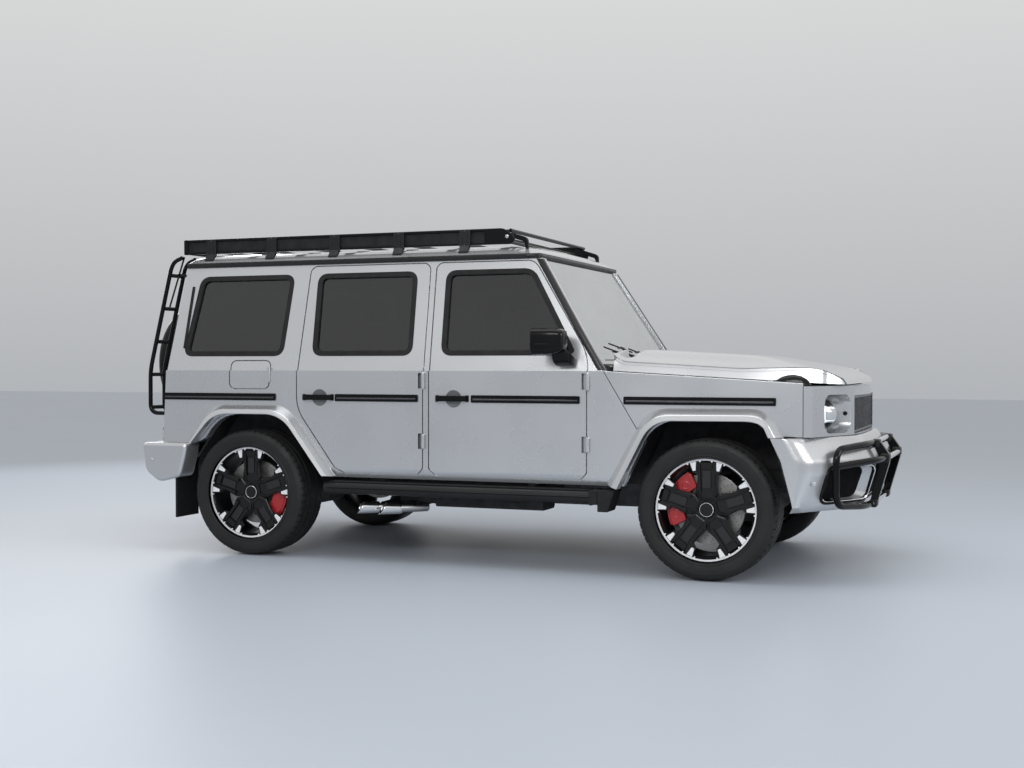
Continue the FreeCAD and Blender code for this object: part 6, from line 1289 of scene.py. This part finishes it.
def boards():
    shape = rounded(((-0.8, 0.393), (-0.8, 0.474), (-0.935, 0.47), (-0.949, 0.452), (-0.947, 0.42),
        (-0.93, 0.402)), 0.014, 4)
    pieces = [slab("board", shape, "x", -0.828, 0.904, "coated", 0.004, 3)]
    for i in range(7):
        y = -0.822 - 0.0165 * i
        pieces.append(brick("rib", (-0.79, 0.86), (y - 0.0045, y + 0.0045), (0.4725, 0.4785), "rubber",
            0.002, 2))
    trim = round_slab("edge", ((-0.9465, 0.432), (-0.95, 0.436), (-0.95, 0.44), (-0.9465, 0.444)), 0.001,
        2, "x", -0.8, 0.88, "gloss", 0.0006, 1)
    flap = round_slab("flap", ((0.868, 0.388), (0.92, 0.4), (0.92, 0.478), (0.868, 0.479)), 0.016, 4, "y",
        -0.949, -0.8, "rubber", 0.004)
    pieces += [trim, flap]
    for x in (-0.62, -0.1, 0.42, 0.8):
        pieces.append(round_slab("arm", ((-0.9, 0.397), (-0.795, 0.391), (-0.795, 0.42), (-0.9, 0.412)),
            0.003, 2, "x", x - 0.022, x + 0.022, "frame_black", 0.002))
    placed(mirror_pair("step_boards", pieces), "body", "black_trim", "running_boards")


def exhausts():
    pieces = []
    for ax, ay in ((-0.614, -0.868), (-0.464, -0.868)):
        x0 = ax + 0.128
        path = [(x0 + 0.1, -0.7, 0.318), (x0 + 0.05, -0.76, 0.318), (ax, ay, 0.316)]
        pieces.append(pipe("pipe", path, 0.026, "steel", 0.06, 24, steps=6))
        way = (Vector((ax, ay)) - Vector((x0, -0.775))).normalized()
        side = Vector((way.y, -way.x))
        loops = []
        for along, r in ((-0.115, 0.024), (-0.11, 0.034), (-0.095, 0.0365), (0.0, 0.0368),
                (0.004, 0.0355), (0.0, 0.0335), (-0.07, 0.032)):
            ring = []
            for k in range(40):
                a = math.tau * k / 40
                off = side * math.cos(a) * r
                slant = -0.024 * math.sin(a) if along > -0.05 else 0.0
                p = Vector((ax, ay)) + way * (along + slant - 0.006) + off
                ring.append((p.x, p.y, 0.3165 + math.sin(a) * r))
            loops.append(ring)
        pieces.append(rows("tip", loops, "chrome"))
        pieces.append(mesh_piece("throat", loops[-1], [tuple(range(40))], "seam"))
    placed(mirror_pair("exhaust_tips", pieces), "body", "steel")
    dressed("exhaust", "under", 0.006, 3, angle=40, drop=lambda p: abs(p.y) > 0.779 and p.x < -0.3)


def rear_bumper():
    """Bumper whose ends wrap forward to the arches, with its foot cut up at the back."""
    middle = round_slab("middle", ((-2.123, 0.689), (-1.9, 0.689), (-1.9, 0.448), (-2.02, 0.44),
        (-2.112, 0.506)), 0.022, 5, "y", -0.84, 0.84, "paint", 0.01, 3)
    end = round_slab("end", ((-2.123, 0.689), (-1.788, 0.689), (-1.796, 0.62), (-1.838, 0.474),
        (-2.0, 0.438), (-2.1, 0.51)), 0.035, 6, "y", -0.984, -0.82, "paint", 0.026, 5)
    sensor = lathe("sensor", [(-0.975, 0.011), (-0.9845, 0.011), (-0.986, 0.008), (-0.9852, 0.0)], "y",
        (-2.05, 0, 0.58), "paint", 24)
    placed(joined("rear_bumper_skin", [middle, mirror_pair("ends", [end, sensor])]), "body", "body_paint",
        "rear_bumper")


def cowl_louvres():
    vents = [brick("louvre", (x, x + 0.0035), (-0.76, 0.76), (1.2105, 1.2155), "seam", 0.0008, 1)
        for x in (0.9085, 0.9155)]
    placed(joined("cowl_louvres", vents), "body", "black_trim")


def wiper_blades():
    def over_glass(y, z, off=0.0):
        return (0.931 - 0.633 * (z - 1.177) + off, y, z)
    pieces = []
    for pivot, joint, near, far in (((-0.1, 1.1773), (-0.265, 1.286), (-0.47, 1.312), (-0.08, 1.262)),
            ((0.2, 1.1773), (0.06, 1.262), (-0.11, 1.284), (0.27, 1.236))):
        arm = pipe("arm", [(0.921, pivot[0], pivot[1]), over_glass(pivot[0] - 0.006, 1.215),
            over_glass(*joint)], 0.0058, "trim", 0.03, 10)
        bridge = pipe("bridge", [over_glass(joint[0] - 0.07, joint[1] + 0.002, -0.002),
            over_glass(joint[0], joint[1] + 0.004, 0.002),
            over_glass(joint[0] + 0.07, joint[1] - 0.012, -0.002)], 0.0065, "trim", 0.02, 8)
        blade = pipe("blade", [over_glass(*near, -0.004), over_glass(*far, -0.004)], 0.0045, "rubber", 0,
            8)
        cap = lathe("cap", [(1.1735, 0.01), (1.186, 0.01), (1.189, 0.007), (1.1895, 0.0)], "z",
            (0.921, pivot[0], 0), "trim", 18)
        pieces += [arm, bridge, blade, cap]
    placed(joined("wiper_set", pieces), "body", "black_trim", "wipers")


# Inside


def pillow(name, half, mat, square, grooves=(), crown=0.0):
    """A closed cushion form: a rounded block with a crown and stitched channels."""
    def power(value, e):
        return math.copysign(abs(value) ** e, value)
    lat, lon = 28, 56
    loops = []
    for i in range(lat + 1):
        up = -math.pi / 2 + math.pi * i / lat
        ring = []
        for k in range(lon):
            a = math.tau * k / lon
            x = half[0] * power(math.cos(up), square) * power(math.cos(a), square)
            y = half[1] * power(math.cos(up), square) * power(math.sin(a), square)
            z = half[2] * power(math.sin(up), square)
            if z > 0:
                z += crown * (1 - (x / half[0]) ** 2) * (1 - (y / half[1]) ** 2)
            ring.append((x, y, z))
        loops.append(ring)
    piece = rows(name, loops, mat)
    edit(piece, lambda work: bmesh.ops.remove_doubles(work, verts=work.verts, dist=0.0004))
    for vertex in piece.data.vertices:
        if vertex.co.z > half[2] * 0.2:
            for axis, at, depth in grooves:
                far = (vertex.co[axis] - at) / 0.012
                vertex.co.z -= depth * math.exp(-far * far)
    return piece


def seat_set(name, y, half, rear):
    """Cushion, backrest and headrests of one seat or bench."""
    shift = -0.9 if rear else 0.0
    bolster = 0.055
    middle = half - bolster
    pads = []
    for part, tilt, size, at, depth, seams, wing_size, wing_at in (("cushion", -4, (0.245, 0.085),
            (0.066, 0.805), 0.012, (-0.09, 0.03, 0.13), (0.235, 0.098), (0.066, 0.808)),
            ("back", 102, (0.295, 0.066), (-0.215, 1.185), 0.01, (-0.14, -0.03, 0.08), (0.27, 0.08),
            (-0.212, 1.165))):
        pad = pillow(part, (size[0], middle, size[1]), "leather", 0.36,
            [(0, seam, depth) for seam in seams], 0.012)
        turned(pad, tilt, "Y")
        pads.append(moved(pad, at[0] + shift, y, at[1]))
        for side in (1, -1):
            wing = pillow("wing", (wing_size[0], bolster, wing_size[1]), "leather", 0.55, (), 0.006)
            turned(wing, tilt, "Y")
            pads.append(moved(wing, wing_at[0] + shift, y + side * middle, wing_at[1]))
    for k in REAR_SEATS if rear else (0.0,):
        head = pillow("head", (0.085, 0.125, 0.052), "leather", 0.5, (), 0.008)
        turned(head, 96, "Y")
        pads.append(moved(head, -0.262 + shift, y + k, 1.567))
    return joined(name, pads)


def inside():
    pair = [seat_set("front_seat", y, 0.25, False) for y in (-FRONT_SEAT, FRONT_SEAT)]
    for pads, node in ((joined("front_seat_pads", pair), "front_seats"),
            (seat_set("rear_bench_pads", 0.0, 0.632, True), "rear_seats")):
        placed(pads, "body", "seat", node, angle=60)
    posts = []
    for x, ys in ((-0.25, (-FRONT_SEAT, FRONT_SEAT)), (-1.15, REAR_SEATS)):
        for y in ys:
            for dy in (-0.055, 0.055):
                posts.append(pipe("post", [(x, y + dy, 1.44), (x - 0.012, y + dy, 1.54)], 0.006, "chrome",
                    0, 10))
    placed(joined("headrest_posts", posts), "body", "steel")
    rim = []
    for k in range(48):
        a = math.tau * k / 48
        rim.append((0.0, math.cos(a) * 0.176, math.sin(a) * 0.176))
    wheel_rim = pipe("rim", rim, 0.0145, "leather", 0, 12, loop=True, steps=1)
    arms = [pipe("arm", [(0.012, 0, 0), (0.004, dy, dz)], 0.012, "gloss", 0, 10)
        for dy, dz in ((0.165, -0.01), (-0.165, -0.01), (0.0, -0.165))]
    hub = pillow("hub", (0.055, 0.065, 0.022), "trim", 0.5)
    turned(hub, 90, "Y")
    whole = joined("steering_wheel_rim", [wheel_rim, *arms, hub])
    turned(whole, 24, "Y")
    moved(whole, 0.567, FRONT_SEAT, 1.06)
    placed(whole, "body", "dash")


def carried_over():
    doors = [f"glass_{end}_{side}" for end in ("front", "rear") for side in ("right", "left")]
    for mat, nodes in (("clear_glass", ["windscreen"]),
            ("tint_glass", ["quarter_windows", "rear_door_glass", *doors]),
            ("frame_black", ["chassis_frame", "front_suspension"]), ("under", ["floor_pan", "fuel_tank"]),
            ("iron", ["engine_block", "driveline"]), ("dash", ["dashboard"])):
        for node in nodes:
            painted(node, mat)


for make in (stage_scene, carried_over, body_panels, bonnet, window_seals, arch_flares, side_details,
        mirrors, headlamps, grille, front_bumper, bumper_details, brush_guard, wheels, brakes, roof,
        roof_rack, rear_bumper, ladder, spare, rear_details, boards, exhausts, cowl_louvres, wiper_blades,
        inside):
    make()
